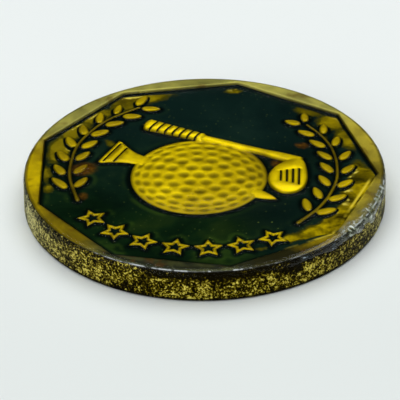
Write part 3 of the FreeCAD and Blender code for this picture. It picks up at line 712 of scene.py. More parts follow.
# ============================================================================
# Materials
# ============================================================================
class Nodes:
    def __init__(self, name):
        self.mat = bpy.data.materials.new(name)
        self.mat.use_nodes = True
        self.t = self.mat.node_tree
        self.t.nodes.clear()
        self.out = self.t.nodes.new("ShaderNodeOutputMaterial")

    def node(self, kind, **kw):
        n = self.t.nodes.new(kind)
        for k, v in kw.items():
            setattr(n, k, v)
        return n

    def link(self, a, b):
        self.t.links.new(a, b)

    def set(self, socket, value):
        if isinstance(value, bpy.types.NodeSocket):
            self.link(value, socket)
        else:
            socket.default_value = value

    def coords(self):
        return self.node("ShaderNodeTexCoord").outputs["Object"]

    def noise(self, scale, detail=3.0, rough=0.55, vec=None, dist=0.0):
        n = self.node("ShaderNodeTexNoise")
        n.inputs["Scale"].default_value = scale
        n.inputs["Detail"].default_value = detail
        n.inputs["Roughness"].default_value = rough
        n.inputs["Distortion"].default_value = dist
        self.link(vec if vec is not None else self.coords(), n.inputs["Vector"])
        return n.outputs["Fac"]

    def voronoi(self, scale, vec=None, feature="F1", out="Distance"):
        n = self.node("ShaderNodeTexVoronoi", feature=feature)
        n.inputs["Scale"].default_value = scale
        self.link(vec if vec is not None else self.coords(), n.inputs["Vector"])
        return n.outputs[out]

    def ramp(self, fac, stops, interp="LINEAR"):
        n = self.node("ShaderNodeValToRGB")
        n.color_ramp.interpolation = interp
        el = n.color_ramp.elements
        while len(el) < len(stops):
            el.new(0.5)
        for e, (pos, col) in zip(el, stops):
            e.position = pos
            e.color = (*col, 1) if len(col) == 3 else col
        self.link(fac, n.inputs["Fac"])
        return n.outputs["Color"]

    def math(self, op, a, b=None, c=None, clamp=False):
        n = self.node("ShaderNodeMath", operation=op, use_clamp=clamp)
        for i, v in enumerate((a, b, c)):
            if v is not None:
                self.set(n.inputs[i], v)
        return n.outputs[0]

    def mix(self, fac, a, b, blend="MIX"):
        n = self.node("ShaderNodeMix", data_type="RGBA", blend_type=blend)
        self.set(n.inputs["Factor"], fac)
        self.set(n.inputs["A"], (*a, 1) if isinstance(a, tuple) and len(a) == 3 else a)
        self.set(n.inputs["B"], (*b, 1) if isinstance(b, tuple) and len(b) == 3 else b)
        return n.outputs["Result"]

    def mapr(self, v, a, b, c=0.0, d=1.0, smooth_it=True):
        n = self.node("ShaderNodeMapRange", interpolation_type="SMOOTHSTEP" if smooth_it else "LINEAR")
        for k, x in zip(("From Min", "From Max", "To Min", "To Max"), (a, b, c, d)):
            n.inputs[k].default_value = x
        self.link(v, n.inputs["Value"])
        return n.outputs["Result"]

    def attr(self, name):
        n = self.node("ShaderNodeVertexColor", layer_name=name)
        s = self.node("ShaderNodeSeparateColor")
        self.link(n.outputs["Color"], s.inputs["Color"])
        return s.outputs[0], s.outputs[1], s.outputs[2], n.outputs["Alpha"]

    def bump(self, h, strength, distance, normal=None):
        n = self.node("ShaderNodeBump")
        n.inputs["Strength"].default_value = strength
        n.inputs["Distance"].default_value = distance
        self.link(h, n.inputs["Height"])
        if normal is not None:
            self.link(normal, n.inputs["Normal"])
        return n.outputs["Normal"]

    def principled(self, **kw):
        n = self.node("ShaderNodeBsdfPrincipled")
        for k, v in kw.items():
            self.set(n.inputs[k.replace("_", " ")], (*v, 1) if isinstance(v, tuple) and len(v) == 3 else v)
        self.link(n.outputs["BSDF"], self.out.inputs["Surface"])
        return n


def srgb(r, g, b):
    return tuple((v / 255 / 12.92) if v <= 10 else ((v / 255 + 0.055) / 1.055) ** 2.4 for v in (r, g, b))


def brass_face_material():
    m = Nodes("struck_brass")
    edge, tarnish, rimness, pit = m.attr("strike")
    bright_, grey_, _, _ = m.attr("wear_and_painted_light")
    co = m.coords()
    big = m.noise(150, 4, 0.6, co, 0.4)
    mid = m.noise(900, 4, 0.6, co)
    fine = m.noise(5200, 3, 0.6, co)
    # from olive brown to clean yellow: tarnish, with the light, shade and highlight lines painted into bright_
    lev = m.math("ADD", bright_, m.math("MULTIPLY", m.math("SUBTRACT", big, 0.5), 0.45))
    lev = m.math("ADD", lev, m.math("MULTIPLY", m.math("SUBTRACT", mid, 0.5), 0.30))
    streak = m.noise(260, 5, 0.65, co, 0.8)
    lev = m.math("ADD", lev, m.math("MULTIPLY", m.math("MULTIPLY", m.math("SUBTRACT", streak, 0.5), rimness), 0.75))
    col = m.ramp(lev, [(0.04, srgb(34, 32, 6)), (0.22, srgb(84, 72, 5)), (0.45, srgb(136, 116, 4)), (0.70, srgb(188, 162, 0)), (0.98, srgb(230, 202, 0))])
    dull = m.ramp(lev, [(0.04, srgb(30, 35, 20)), (0.22, srgb(68, 75, 42)), (0.50, srgb(118, 124, 68)), (0.95, srgb(178, 180, 104))])
    col = m.mix(grey_, col, dull)
    col = m.mix(m.math("MULTIPLY", tarnish, 0.60, clamp=True), col, srgb(92, 56, 8))
    # darker in the corners of the strike and the bottoms of the dimples, and painted shade falling off round the ball's
    # edge
    col = m.mix(m.math("MULTIPLY", edge, 0.90, clamp=True), col, srgb(34, 32, 5))
    # fine dark pits
    v = m.voronoi(3400, co)
    spots = m.mapr(v, 0.10, 0.26, 1.0, 0.0)
    pits = m.math("MULTIPLY", spots, m.mapr(m.noise(1500, 2, 0.5, co), 0.50, 0.60, 0, 1))
    pits = m.math("MULTIPLY", pits, m.math("ADD", m.math("MULTIPLY", pit, 1.0), 0.10), clamp=True)
    col = m.mix(m.math("MULTIPLY", pits, 0.85), col, srgb(60, 48, 8))
    h = m.math("ADD", m.math("MULTIPLY", fine, 0.35), m.math("MULTIPLY", mid, 0.9))
    h = m.math("SUBTRACT", h, m.math("MULTIPLY", pits, 1.2))
    nrm = m.bump(h, 0.30, 0.00006)
    rough = m.mapr(mid, 0.3, 0.7, 0.36, 0.52)
    m.principled(Base_Color=col, Metallic=0.80, Roughness=rough, Specular_IOR_Level=0.0, Normal=nrm)
    return m.mat


def brass_wall_material():
    m = Nodes("granular_brass")
    grain, band_, side, low = m.attr("strike")
    lift, grey_, high, _ = m.attr("wear_and_painted_light")
    co = m.coords()
    a = m.noise(6800, 2, 0.55, co, 0.6)
    b = m.noise(12400, 2, 0.6, co)
    big = m.noise(420, 3, 0.6, co)
    f = m.math("ADD", m.math("MULTIPLY", grain, 0.60), m.math("ADD", m.math("MULTIPLY", a, 1.25), m.math("MULTIPLY", b, 0.75)))
    f = m.math("ADD", f, m.math("MULTIPLY", m.math("SUBTRACT", big, 0.5), 0.45))
    # painted reflection: lighter at the wall's left and right ends
    f = m.math("ADD", f, m.math("MULTIPLY", side, 0.20))
    f = m.math("SUBTRACT", f, m.mapr(m.noise(210, 3, 0.6, co, 0.5), 0.56, 0.70, 0, 0.30))
    f = m.math("ADD", f, m.math("MULTIPLY", m.math("SUBTRACT", lift, 0.5), 0.5))
    f = m.math("SUBTRACT", f, m.math("MULTIPLY", m.math("MULTIPLY", high, m.math("SUBTRACT", 1.0, m.math("MULTIPLY", side, 0.5))), 0.30))
    x = m.mapr(f, 0.92, 1.74, 0, 1, False)
    col = m.ramp(x, [(0.22, srgb(14, 11, 0)), (0.40, srgb(46, 38, 1)), (0.50, srgb(88, 74, 3)),
                     (0.60, srgb(156, 138, 22)), (0.76, srgb(236, 220, 100))])
    grey = m.ramp(x, [(0.20, srgb(30, 32, 20)), (0.42, srgb(82, 84, 52)), (0.60, srgb(140, 140, 98)), (0.82, srgb(206, 206, 170))])
    # and greyer there, as painted reflection
    col = m.mix(m.math("MULTIPLY", side, 0.75), col, grey)
    # painted shade along the foot of the wall
    col = m.mix(m.math("MULTIPLY", low, 0.96, clamp=True), col, srgb(8, 8, 4))
    nrm = m.bump(m.math("ADD", a, m.math("MULTIPLY", b, 0.6)), 0.8, 0.00010)
    m.principled(Base_Color=col, Metallic=0.55, Roughness=m.mapr(a, 0.35, 0.7, 0.62, 0.36), Specular_IOR_Level=0.0, Normal=nrm)
    return m.mat


def brass_back_material():
    m = Nodes("plain_brass_back")
    co = m.coords()
    big = m.noise(120, 4, 0.6, co, 0.3)
    fine = m.noise(6000, 3, 0.6, co)
    map_ = m.node("ShaderNodeMapping")
    map_.inputs["Scale"].default_value = (160, 5200, 5200)
    m.link(co, map_.inputs["Vector"])
    lines = m.noise(1.0, 4, 0.6, map_.outputs["Vector"])
    col = m.ramp(big, [(0.30, srgb(150, 128, 36)), (0.52, srgb(188, 164, 62)), (0.70, srgb(214, 194, 96))])
    col = m.mix(m.mapr(lines, 0.45, 0.75, 0, 0.35), col, srgb(120, 100, 30))
    nrm = m.bump(m.math("ADD", lines, m.math("MULTIPLY", fine, 0.5)), 0.35, 0.00004)
    m.principled(Base_Color=col, Metallic=0.85, Roughness=m.mapr(lines, 0.3, 0.7, 0.28, 0.46), Normal=nrm)
    return m.mat


def enamel_material():
    m = Nodes("green_enamel")
    halo, thin_, tone_, stain_ = m.attr("pool")
    shade_, glint_, shine_, _ = m.attr("painted_shade_and_glints")
    glow_, speck_, dark_patches_and_front_shade, _ = m.attr("glow")
    co = m.coords()
    big = m.noise(170, 4, 0.6, co, 0.5)
    mid = m.noise(700, 4, 0.6, co)
    fine = m.noise(2600, 4, 0.65, co)
    deep = m.ramp(big, [(0.30, srgb(7, 21, 19)), (0.55, srgb(12, 30, 26)), (0.75, srgb(19, 38, 31))])
    green = m.ramp(big, [(0.30, srgb(4, 17, 8)), (0.50, srgb(12, 32, 13)), (0.74, srgb(33, 49, 15))])
    col = m.mix(tone_, deep, green)
    # darker patches, and painted shade along the rim's edge at the front
    col = m.mix(dark_patches_and_front_shade, col, srgb(2, 9, 6))
    # painted light caught in the slope a little way off each wall, then a painted black shadow line against it
    ring = m.math("MULTIPLY", m.mapr(halo, 0.24, 0.44, 0, 1), m.mapr(halo, 0.46, 0.80, 1, 0))
    ring = m.math("MULTIPLY", ring, m.mapr(m.noise(330, 3, 0.6, co), 0.44, 0.66, 0.0, 0.62))
    ring = m.math("MULTIPLY", ring, m.math("ADD", m.math("MULTIPLY", tone_, 0.80), 0.12))
    ring = m.math("MULTIPLY", ring, m.math("SUBTRACT", 1.0, dark_patches_and_front_shade))
    col = m.mix(ring, col, srgb(46, 68, 20))
    col = m.mix(m.mapr(halo, 0.08, 0.42, 0.94, 0.0), col, srgb(3, 8, 6))
    # thin places: the brass below, with a ragged dark border
    t = m.math("ADD", thin_, m.math("MULTIPLY", m.math("SUBTRACT", mid, 0.5), 0.50))
    t = m.math("ADD", t, m.math("MULTIPLY", m.math("SUBTRACT", fine, 0.5), 0.42))
    t = m.math("MULTIPLY", t, m.mapr(halo, 0.06, 0.22, 0.25, 1.0))
    t = m.math("MULTIPLY", t, m.math("SUBTRACT", 1.0, m.math("MULTIPLY", shade_, 0.85)))
    stroke_map = m.node("ShaderNodeMapping")
    stroke_map.inputs["Rotation"].default_value = (0.0, 0.0, -0.55)
    stroke_map.inputs["Scale"].default_value = (300.0, 620.0, 600.0)
    m.link(co, stroke_map.inputs["Vector"])
    strokes = m.noise(1.0, 5, 0.62, stroke_map.outputs["Vector"], 0.9)
    strokes = m.math("ADD", m.math("MULTIPLY", strokes, 0.40), m.math("MULTIPLY", m.noise(560, 4, 0.60, co, 0.5), 0.60))
    yellow = m.ramp(strokes, [(0.39, srgb(44, 38, 2)), (0.47, srgb(112, 97, 3)), (0.55, srgb(158, 137, 3)), (0.64, srgb(194, 170, 6))])
    yellow = m.mix(m.mapr(m.noise(230, 4, 0.6, co, 0.6), 0.44, 0.60, 0.75, 0.0), yellow, srgb(44, 40, 3))
    yellow = m.mix(glow_, m.mix(m.mapr(mid, 0.36, 0.64, 0, 1), srgb(78, 68, 6), srgb(122, 108, 10)), yellow)
    col = m.mix(m.mapr(t, 0.20, 0.46, 0, 1), col, srgb(64, 60, 5))
    col = m.mix(m.mapr(t, 0.42, 0.62, 0, 1), col, yellow)
    # painted glint beyond the painted shade, where the enamel is thin
    col = m.mix(m.math("MULTIPLY", m.math("MULTIPLY", glint_, m.mapr(t, 0.30, 0.60, 0, 1)), 0.9), col, srgb(248, 228, 90))
    # painted highlight lines along the lower right edge
    col = m.mix(m.math("MULTIPLY", shine_, 0.85), col, srgb(240, 214, 60))
    # painted shade on the near side of the walls
    col = m.mix(m.math("MULTIPLY", shade_, 0.80), col, srgb(3, 9, 7))
    rust = m.mapr(m.math("MULTIPLY", stain_, m.math("ADD", mid, 0.45)), 0.28, 0.80, 0, 0.80)
    col = m.mix(rust, col, m.mix(m.mapr(fine, 0.4, 0.65, 0, 1), srgb(58, 36, 7), srgb(96, 62, 12)))
    # painted sparkles: small light specks in the enamel
    dv = m.voronoi(2600, co)
    sparkle_specks = m.math("MULTIPLY", m.mapr(dv, 0.08, 0.22, 1.0, 0.0), m.mapr(m.noise(1900, 2, 0.5, co), 0.46, 0.56, 0, 1))
    col = m.mix(m.math("MULTIPLY", m.math("MULTIPLY", sparkle_specks, speck_), 0.8), col, srgb(96, 112, 50))
    nrm = m.bump(m.math("ADD", mid, m.math("MULTIPLY", fine, 0.25)), 0.10, 0.00008)
    m.principled(Base_Color=col, Metallic=0.0, Roughness=0.5, Specular_IOR_Level=0.0, Normal=nrm)
    return m.mat


def drop_material(name, dark, light):
    m = Nodes(name)
    co = m.coords()
    big = m.noise(700, 3, 0.6, co)
    fine = m.noise(3800, 3, 0.6, co)
    col = m.ramp(big, [(0.34, dark), (0.66, light)])
    col = m.mix(m.mapr(fine, 0.56, 0.74, 0, 0.5), col, srgb(40, 52, 22))
    nrm = m.bump(fine, 0.10, 0.00004)
    m.principled(Base_Color=col, Metallic=0.0, Roughness=0.40, Specular_IOR_Level=0.0, Normal=nrm)
    return m.mat


def lacquer_material():
    m = Nodes("clear_lacquer")
    bead, crinkle, lip, reflection_streak_mask = m.attr("coat")
    co = m.coords()
    mid = m.noise(1000, 3, 0.55, co, 0.4)
    fine = m.noise(3200, 3, 0.6, co)
    h = m.math("MULTIPLY", m.math("ADD", mid, m.math("MULTIPLY", fine, 0.25)), m.math("ADD", m.math("MULTIPLY", crinkle, 0.8), 0.05))
    nrm = m.bump(h, 0.40, 0.00010)
    fres = m.node("ShaderNodeFresnel")
    fres.inputs["IOR"].default_value = 1.48
    m.link(nrm, fres.inputs["Normal"])
    gloss = m.node("ShaderNodeBsdfGlossy")
    gloss.inputs["Color"].default_value = (1, 1, 1, 1)
    gloss.inputs["Roughness"].default_value = 0.12
    m.link(nrm, gloss.inputs["Normal"])
    # where the coat has run thick at the right it is wrinkled, and painted light and slate streaks stand for the
    # reflections it catches
    pale_, _, _, _ = m.attr("reflection_streaks")
    strokes = m.noise(1900, 4, 0.66, co, 0.6)
    white = m.ramp(strokes, [(0.34, srgb(56, 60, 40)), (0.46, srgb(116, 122, 94)), (0.55, srgb(172, 180, 160)), (0.64, srgb(238, 242, 234))])
    slate = m.ramp(strokes, [(0.36, srgb(10, 13, 13)), (0.50, srgb(26, 34, 38)), (0.60, srgb(60, 73, 80)), (0.70, srgb(180, 192, 200))])
    reflection_streaks = m.mix(pale_, slate, white)
    # painted reflection and highlight: a grey haze where the coat's thick edge reflects its surroundings, near white
    # along the lip as a painted highlight line
    haze_col = m.mix(lip, srgb(86, 90, 78), srgb(218, 222, 224))
    haze_col = m.mix(reflection_streak_mask, haze_col, reflection_streaks)
    haze = m.node("ShaderNodeBsdfDiffuse")
    m.link(haze_col, haze.inputs["Color"])
    m.link(nrm, haze.inputs["Normal"])
    clear = m.node("ShaderNodeBsdfTransparent")
    body = m.node("ShaderNodeMixShader")
    painted_haze = m.math("MULTIPLY", bead, m.mapr(mid, 0.40, 0.72, 0.05, 0.34))
    painted_haze = m.math("ADD", painted_haze, m.math("MULTIPLY", lip, m.mapr(m.noise(2300, 2, 0.6, co), 0.36, 0.60, 0.30, 0.95)))
    painted_haze = m.math("ADD", painted_haze, m.math("MULTIPLY", reflection_streak_mask, m.mapr(strokes, 0.38, 0.60, 0.25, 0.92)), clamp=True)
    m.link(painted_haze, body.inputs[0])
    m.link(clear.outputs[0], body.inputs[1])
    m.link(haze.outputs[0], body.inputs[2])
    mixed = m.node("ShaderNodeMixShader")
    m.link(m.math("MULTIPLY", fres.outputs[0], m.math("ADD", m.math("MULTIPLY", crinkle, 0.70), 0.07)), mixed.inputs[0])
    m.link(body.outputs[0], mixed.inputs[1])
    m.link(gloss.outputs[0], mixed.inputs[2])
    m.link(mixed.outputs[0], m.out.inputs["Surface"])
    return m.mat


MAT_FACE, MAT_WALL, MAT_BACK = brass_face_material(), brass_wall_material(), brass_back_material()
MAT_ENAMEL = enamel_material()
MAT_DROP = drop_material("star_enamel_drop", srgb(3, 11, 9), srgb(9, 24, 17))
MAT_LINE = drop_material("line_enamel", srgb(12, 14, 6), srgb(34, 34, 10))
MAT_LACQUER = lacquer_material()

# ============================================================================
# struck_disc: face, shoulder, granular wall, bevel and back in one closed mesh
# ============================================================================
verts = [np.column_stack([P, Z])]
faces = [T]
findex = [np.zeros(len(T), int)]
# first channel: darker along the edges of the strike and in the dimples, and painted shade falling off round the ball's
# edge
strike = [np.column_stack([
    np.clip(np.exp(-np.maximum(inner, 0) / 0.075) * np.where(kind == 7, 0.95 * (1 - gold_edge) * (1 - 0.5 * far_edge), np.where(kind == 1, 0.60, np.where(kind == 3, 0.35, 0.9)))
            + (kind == 5) * (12.0 * dent * (d_ball > 0.12) + 0.55 * np.exp(-np.maximum(d_ball, 0) / 0.45)), 0, 1),
    np.maximum(stain, foxing),
    (kind == 7).astype(float),
    smooth(blob(-0.10, -0.28, 0.30, 0.16, -6), 0.1, 0.8) * (kind == 5)])]
wear_and_painted_light = [np.column_stack([np.clip(bright, 0, 1.2), grey, np.zeros(len(P)), np.zeros(len(P))])]
count = len(P)
profile = []          # (inset from R, height, zone)
for k in range(1, 8):
    b = math.pi / 2 * k / 7
    profile.append((0.35 * (1 - math.sin(b)), 2.10 + 0.35 * math.cos(b), 0))
for zz in np.linspace(2.10, BEVEL, 27)[1:]:
    profile.append((0.0, zz, 1))
profile += [(0.04, 0.085, 1), (0.10, 0.030, 1), (0.17, 0.0, 1)]
prev = RING
dirs = np.column_stack([np.cos(ring_a), np.sin(ring_a)])
for inset, zz, zone in profile:
    base = np.column_stack([dirs * (R - inset), np.full(N_RING, zz)])
    wall = smooth(np.array([2.40 - zz]), 0.0, 0.30)[0] * smooth(np.array([zz]), -0.02, 0.12)[0]
    coarse = fbm(base, 0.25, 2, 3)
    small = fbm(base, 0.13, 2, 9)
    g = 0.55 * coarse + 0.75 * small
    push = (0.024 * g - 0.012 + 0.010 * fbm(base, 1.6, 2, 21)) * wall
    jig = 0.014 * fbm(base, 0.2, 2, 40) * wall * (0.3 < zz < 2.2)
    ring = np.column_stack([dirs * (R - inset + push)[:, None], zz + jig])
    if zz < 0.001:
        ring[:, 2] = 0
    idx = count + np.arange(N_RING)
    verts.append(ring)
    q = ring_quads(prev, idx)
    faces.append(tris(q))
    # the face material runs over the shoulder's first part, the granular one below
    findex.append(np.full(2 * N_RING, 0 if zz > 2.36 else 1))
    # painted shade: a dark line along the foot of the wall, stronger at the front and back
    foot_shade = smooth(np.array([0.32 - zz]), 0.0, 0.09)[0] * (0.3 + 0.7 * smooth(np.abs(dirs[:, 1]), 0.25, 0.6)) * (1 + 0.3 * fbm(base, 0.5, 2, 61))
    # painted reflection: the wall's left and right ends are made lighter and greyer, for the sky they catch at a
    # grazing angle
    side_sheen = np.abs(dirs[:, 0]) ** 6 * np.where(dirs[:, 0] > 0, 0.8, 1.0)
    deg_r = np.degrees(np.arctan2(dirs[:, 1], dirs[:, 0]))
    if zz > 2.36:
        first = np.clip(rim_tone(deg_r) * 0.8, 0, 1)
    else:
        first = np.interp(deg_r, [-180, -164, -152, -140, -128, -116, -104, -92, -80, -68, -56, -44, -32, -20, -8, 10, 180],
                          [0.55, 0.50, 0.48, 0.53, 0.60, 0.47, 0.43, 0.52, 0.46, 0.52, 0.64, 0.32, 0.40, 0.48, 0.44, 0.50, 0.55])
    dark_top = np.interp(deg_r, [-176, -164, -152, -140, -128, -116, -104, -92, -80, -68, -56, -44, -32, -20, -8, 20, 180],
                         [0.70, 0.70, 0.90, 0.55, 0.60, 0.05, 1.00, 1.10, 0.90, 0.80, 1.00, 0.80, 1.00, 0.60, 0.90, 0.50, 0.50])
    wear_and_painted_light.append(np.column_stack([first, rim_grey(deg_r),
                                 np.clip(smooth(np.array([zz]), 1.50, 2.05)[0] * dark_top, 0, 1.2), np.zeros(N_RING)]))
    if zz > 2.36:
        strike.append(np.column_stack([np.zeros(N_RING), np.zeros(N_RING), np.ones(N_RING), np.zeros(N_RING)]))
    else:
        strike.append(np.column_stack([0.5 + 0.5 * g, np.full(N_RING, 0.5), side_sheen, np.clip(foot_shade, 0, 1)]))
    count += N_RING
    prev = idx
def close_ring(ring_xy):
    """Triangles, facing down, that close a mesh at its last ring, with the points they add inside it."""
    bx, by = np.meshgrid(np.arange(-12, 12.1, 0.8), np.arange(-12, 12.1, 0.8 * 0.866))
    bx = bx + (np.arange(bx.shape[0]) % 2)[:, None] * 0.4
    grid = np.column_stack([bx.ravel(), by.ravel()])
    grid = grid[np.hypot(grid[:, 0], grid[:, 1]) < 11.6]
    pts = np.concatenate([ring_xy, 12.15 * dirs[::3], 11.85 * dirs[::8], grid])
    res = delaunay_2d_cdt([Vector(q) for q in pts.tolist()], [], [], 0, 1e-6)
    out = np.array([(q[0], q[1]) for q in res[0]])
    assert len(out) == len(pts)
    # slivers between neighbouring points of the ring are left out
    tri = np.array([f for f in res[2] if len(f) == 3 and max(f) >= len(ring_xy)])
    a, b, c = out[tri[:, 0]], out[tri[:, 1]], out[tri[:, 2]]
    ar = (b[:, 0] - a[:, 0]) * (c[:, 1] - a[:, 1]) - (b[:, 1] - a[:, 1]) * (c[:, 0] - a[:, 0])
    tri[ar > 0] = tri[ar > 0][:, ::-1]
    return pts, tri


# the back
back, BT = close_ring(verts[-1][:, :2])
# the first N_RING of these are the last ring of the wall
extra = len(back) - N_RING
verts.append(np.column_stack([back[N_RING:], np.zeros(extra)]))
remap = np.concatenate([prev, count + np.arange(extra)])
faces.append(remap[BT])
findex.append(np.full(len(BT), 2))
strike.append(np.zeros((extra, 4)))
wear_and_painted_light.append(np.zeros((extra, 4)))
allv, allf = np.concatenate(verts), np.concatenate(faces)
disc = mesh_object("struck_disc", allv * MM, allf, [MAT_FACE, MAT_WALL, MAT_BACK], np.concatenate(findex))
paint(disc, "strike", np.concatenate(strike))
paint(disc, "wear_and_painted_light", np.concatenate(wear_and_painted_light))
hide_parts("brass_disc")
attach(disc, "root")

# ============================================================================
# Enamel: the pool, the drops in the stars, the fill in the cut lines
# ============================================================================
in_star = np.zeros(len(P), bool)
for i in range(7):
    in_star |= signed(P, STARS[i]) > STROKE * 0.5
tri_c = P[T].mean(1)
tri_star = np.zeros(len(T), bool)
for i in range(7):
    tri_star |= signed(tri_c, STAR_HOLES[i]) > -STROKE * 0.45
above = ZE > Z - 0.05
tri_above = above[T].any(1) & (kind[T].max(1) >= 0)
tri_field = (signed(tri_c, NONAGON, reach=30.0) > -0.045)
keep_pool = tri_above & tri_field & ~tri_star
v, f, used = submesh(keep_pool, ZE)
pool = close_down("enamel_pool", v, f, FLOOR + 0.01, [MAT_ENAMEL])
# first channel: distance from the walls, which places the painted light ring and painted shadow line
paint(pool, "pool", np.column_stack([np.clip(np.minimum(-art + behind, rim_gap + 0.13 * far_edge * (d_non > 0))[used], 0, 1), thin[used], tone[used], stain[used]]))
glow = np.clip(0.10 + 0.95 * smooth(P[:, 0] / R, 0.2, 0.6) * (1 - 0.55 * smooth(P[:, 1] / R, 0.0, 0.35))
               + 0.40 * blob(-0.38, 0.80, 0.16, 0.08, 10) + 0.5 * blob(0.17, 0.87, 0.1, 0.05, 0), 0, 1)
# how strong the painted sparkles are: strongest right of the middle, towards the front
speck = 0.9 * blob(0.36, -0.42, 0.13, 0.17, 20) + 0.5 * blob(0.10, -0.66, 0.2, 0.08, 0) + 0.25
# darker patches, and painted shade in the field along the rim's edge at the front
dark_patches_and_front_shade = np.clip(0.50 * blob(0.36, -0.40, 0.26, 0.24, 0) + 0.40 * blob(0.55, 0.15, 0.18, 0.30, 0)
                + 0.75 * smooth(arc, -112, -98) * (1 - smooth(arc, -74, -62)) * smooth(d_non, -1.1, -0.1) * (d_non < 0.05)
                + 0.75 * smooth(arc, -112, -98) * (1 - smooth(arc, -74, -62)) * smooth(-d_non, -1.1, -0.1) * (d_non > 0), 0, 0.9)
paint(pool, "glow", np.column_stack([glow, np.clip(speck, 0, 1), dark_patches_and_front_shade])[used])
paint(pool, "painted_shade_and_glints", np.column_stack([shade, np.clip(glint, 0, 1), np.clip(shine, 0, 1), np.zeros(len(P))])[used])
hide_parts("field_enamel")
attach(pool, "root")

ZD = LEVEL - 0.05 + 0.085 * np.exp(-DIST / 0.11)
v, f, used = submesh(tri_above & tri_star, ZD)
drops = close_down("enamel_drops", v, f, FLOOR + 0.01, [MAT_DROP])
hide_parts("star_enamel")
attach(drops, "root")


def line_fill(name, polys, node):
    keep = np.zeros(len(T), bool)
    for poly in polys:
        keep |= signed(tri_c, poly) > -0.03
    z = FLOOR + line_floor + 0.070
    v, f, used = submesh(keep & (line_floor[T].min(1) > 0.25), z)
    zb = float(v[:, 2].min()) - 0.06
    ob = close_down(name, v, f, zb, [MAT_LINE])
    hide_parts(node)
    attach(ob, "root")
    return ob


line_fill("club_line_fill", FACE_LINES + GRIP_LINES, "club_line_enamel")
line_fill("tee_line_fill", TEE_LINES, "tee_line_enamel")

# ============================================================================
# The lacquer: a film over the face that gathers into a bead round the shoulder
# ============================================================================
top = np.maximum(Z, np.where(d_non > 0, ZE, 0))
zf = top + 0.030
e = np.concatenate([T[:, [0, 1]], T[:, [1, 2]], T[:, [2, 0]]])
for _ in range(36):
    s = np.zeros(len(P))
    n = np.zeros(len(P))
    np.add.at(s, e[:, 0], zf[e[:, 1]])
    np.add.at(s, e[:, 1], zf[e[:, 0]])
    np.add.at(n, e[:, 0], 1)
    np.add.at(n, e[:, 1], 1)
    zf = np.maximum(0.5 * zf + 0.5 * s / n, top + 0.014)
deg = np.degrees(np.arctan2(dirs[:, 1], dirs[:, 0]))
front = smooth(deg, -140, -112) * (1 - smooth(deg, -12, 2))
right = smooth(deg, -68, -46) * (1 - smooth(deg, -14, 0))
edge_w = smooth(rad, 11.2, 12.1)
cr3 = flat3(P)
deg_p = np.degrees(np.arctan2(P[:, 1], P[:, 0]))
front_p = smooth(deg_p, -140, -112) * (1 - smooth(deg_p, -12, 2))
right_p = smooth(deg_p, -68, -46) * (1 - smooth(deg_p, -14, 0))
zf = zf + edge_w * (0.018 + 0.03 * front_p + 0.03 * right_p * (1 + 0.8 * fbm(cr3, 0.55, 3, 63)))
verts = [np.column_stack([P, zf])]
faces = [T]
edge_in = smooth(rad, 11.35, 11.85) * (1 - 0.85 * smooth(rad, 11.98, 12.08))
wide_p = smooth(deg_p, -46, -38) * (1 - smooth(deg_p, -16, -4))
clean_p = smooth(deg_p, -84, -72) * (1 - smooth(deg_p, -48, -40))
# a grey haze painted for the reflections the coat's thick edge catches, strongest at the front
bead_c = edge_in * (0.05 + 0.56 * front_p * (1 - 0.6 * wide_p) * (1 - 0.85 * clean_p))
fold = fbm(np.column_stack([(rad - 12) * 0.8, np.radians(deg_p) * 12.5 + 0.5 * (rad - 12), np.zeros(len(P))]), 0.8, 3, 221)
reach_in = 11.86 - 0.25 * smooth(fbm(cr3, 1.5, 2, 223), -0.3, 0.5)
# where the painted reflection streaks lie on the face, at the right
reflection_streak_face = 0.75 * wide_p * smooth(rad - reach_in, -0.05, 0.38) * (0.35 + 0.65 * smooth(fold, -0.25, 0.10))
coat = [np.column_stack([bead_c, np.clip(smooth(rad, 11.5, 12.1) * 0.7 * right_p, 0, 1), np.zeros(len(P)), np.clip(reflection_streak_face, 0, 1)])]
count = len(P)
prev = RING
bp = flat3(dirs * R)
swell = 0.030 + 0.050 * front + 0.045 * right * (1 + 0.9 * fbm(bp, 0.5, 3, 50)) + 0.012 * fbm(bp, 0.9, 2, 51)
swell = np.maximum(swell, 0.018)
steps = 9
run = (0.62 * np.exp(-((deg + 24.5) / 2.3) ** 2) + 0.30 * np.exp(-((deg + 33) / 2.0) ** 2) + 0.22 * np.exp(-((deg + 47) / 3.0) ** 2)
       + 0.22 * np.exp(-((deg + 62) / 2.4) ** 2) + 0.16 * np.exp(-((deg + 68) / 1.6) ** 2))
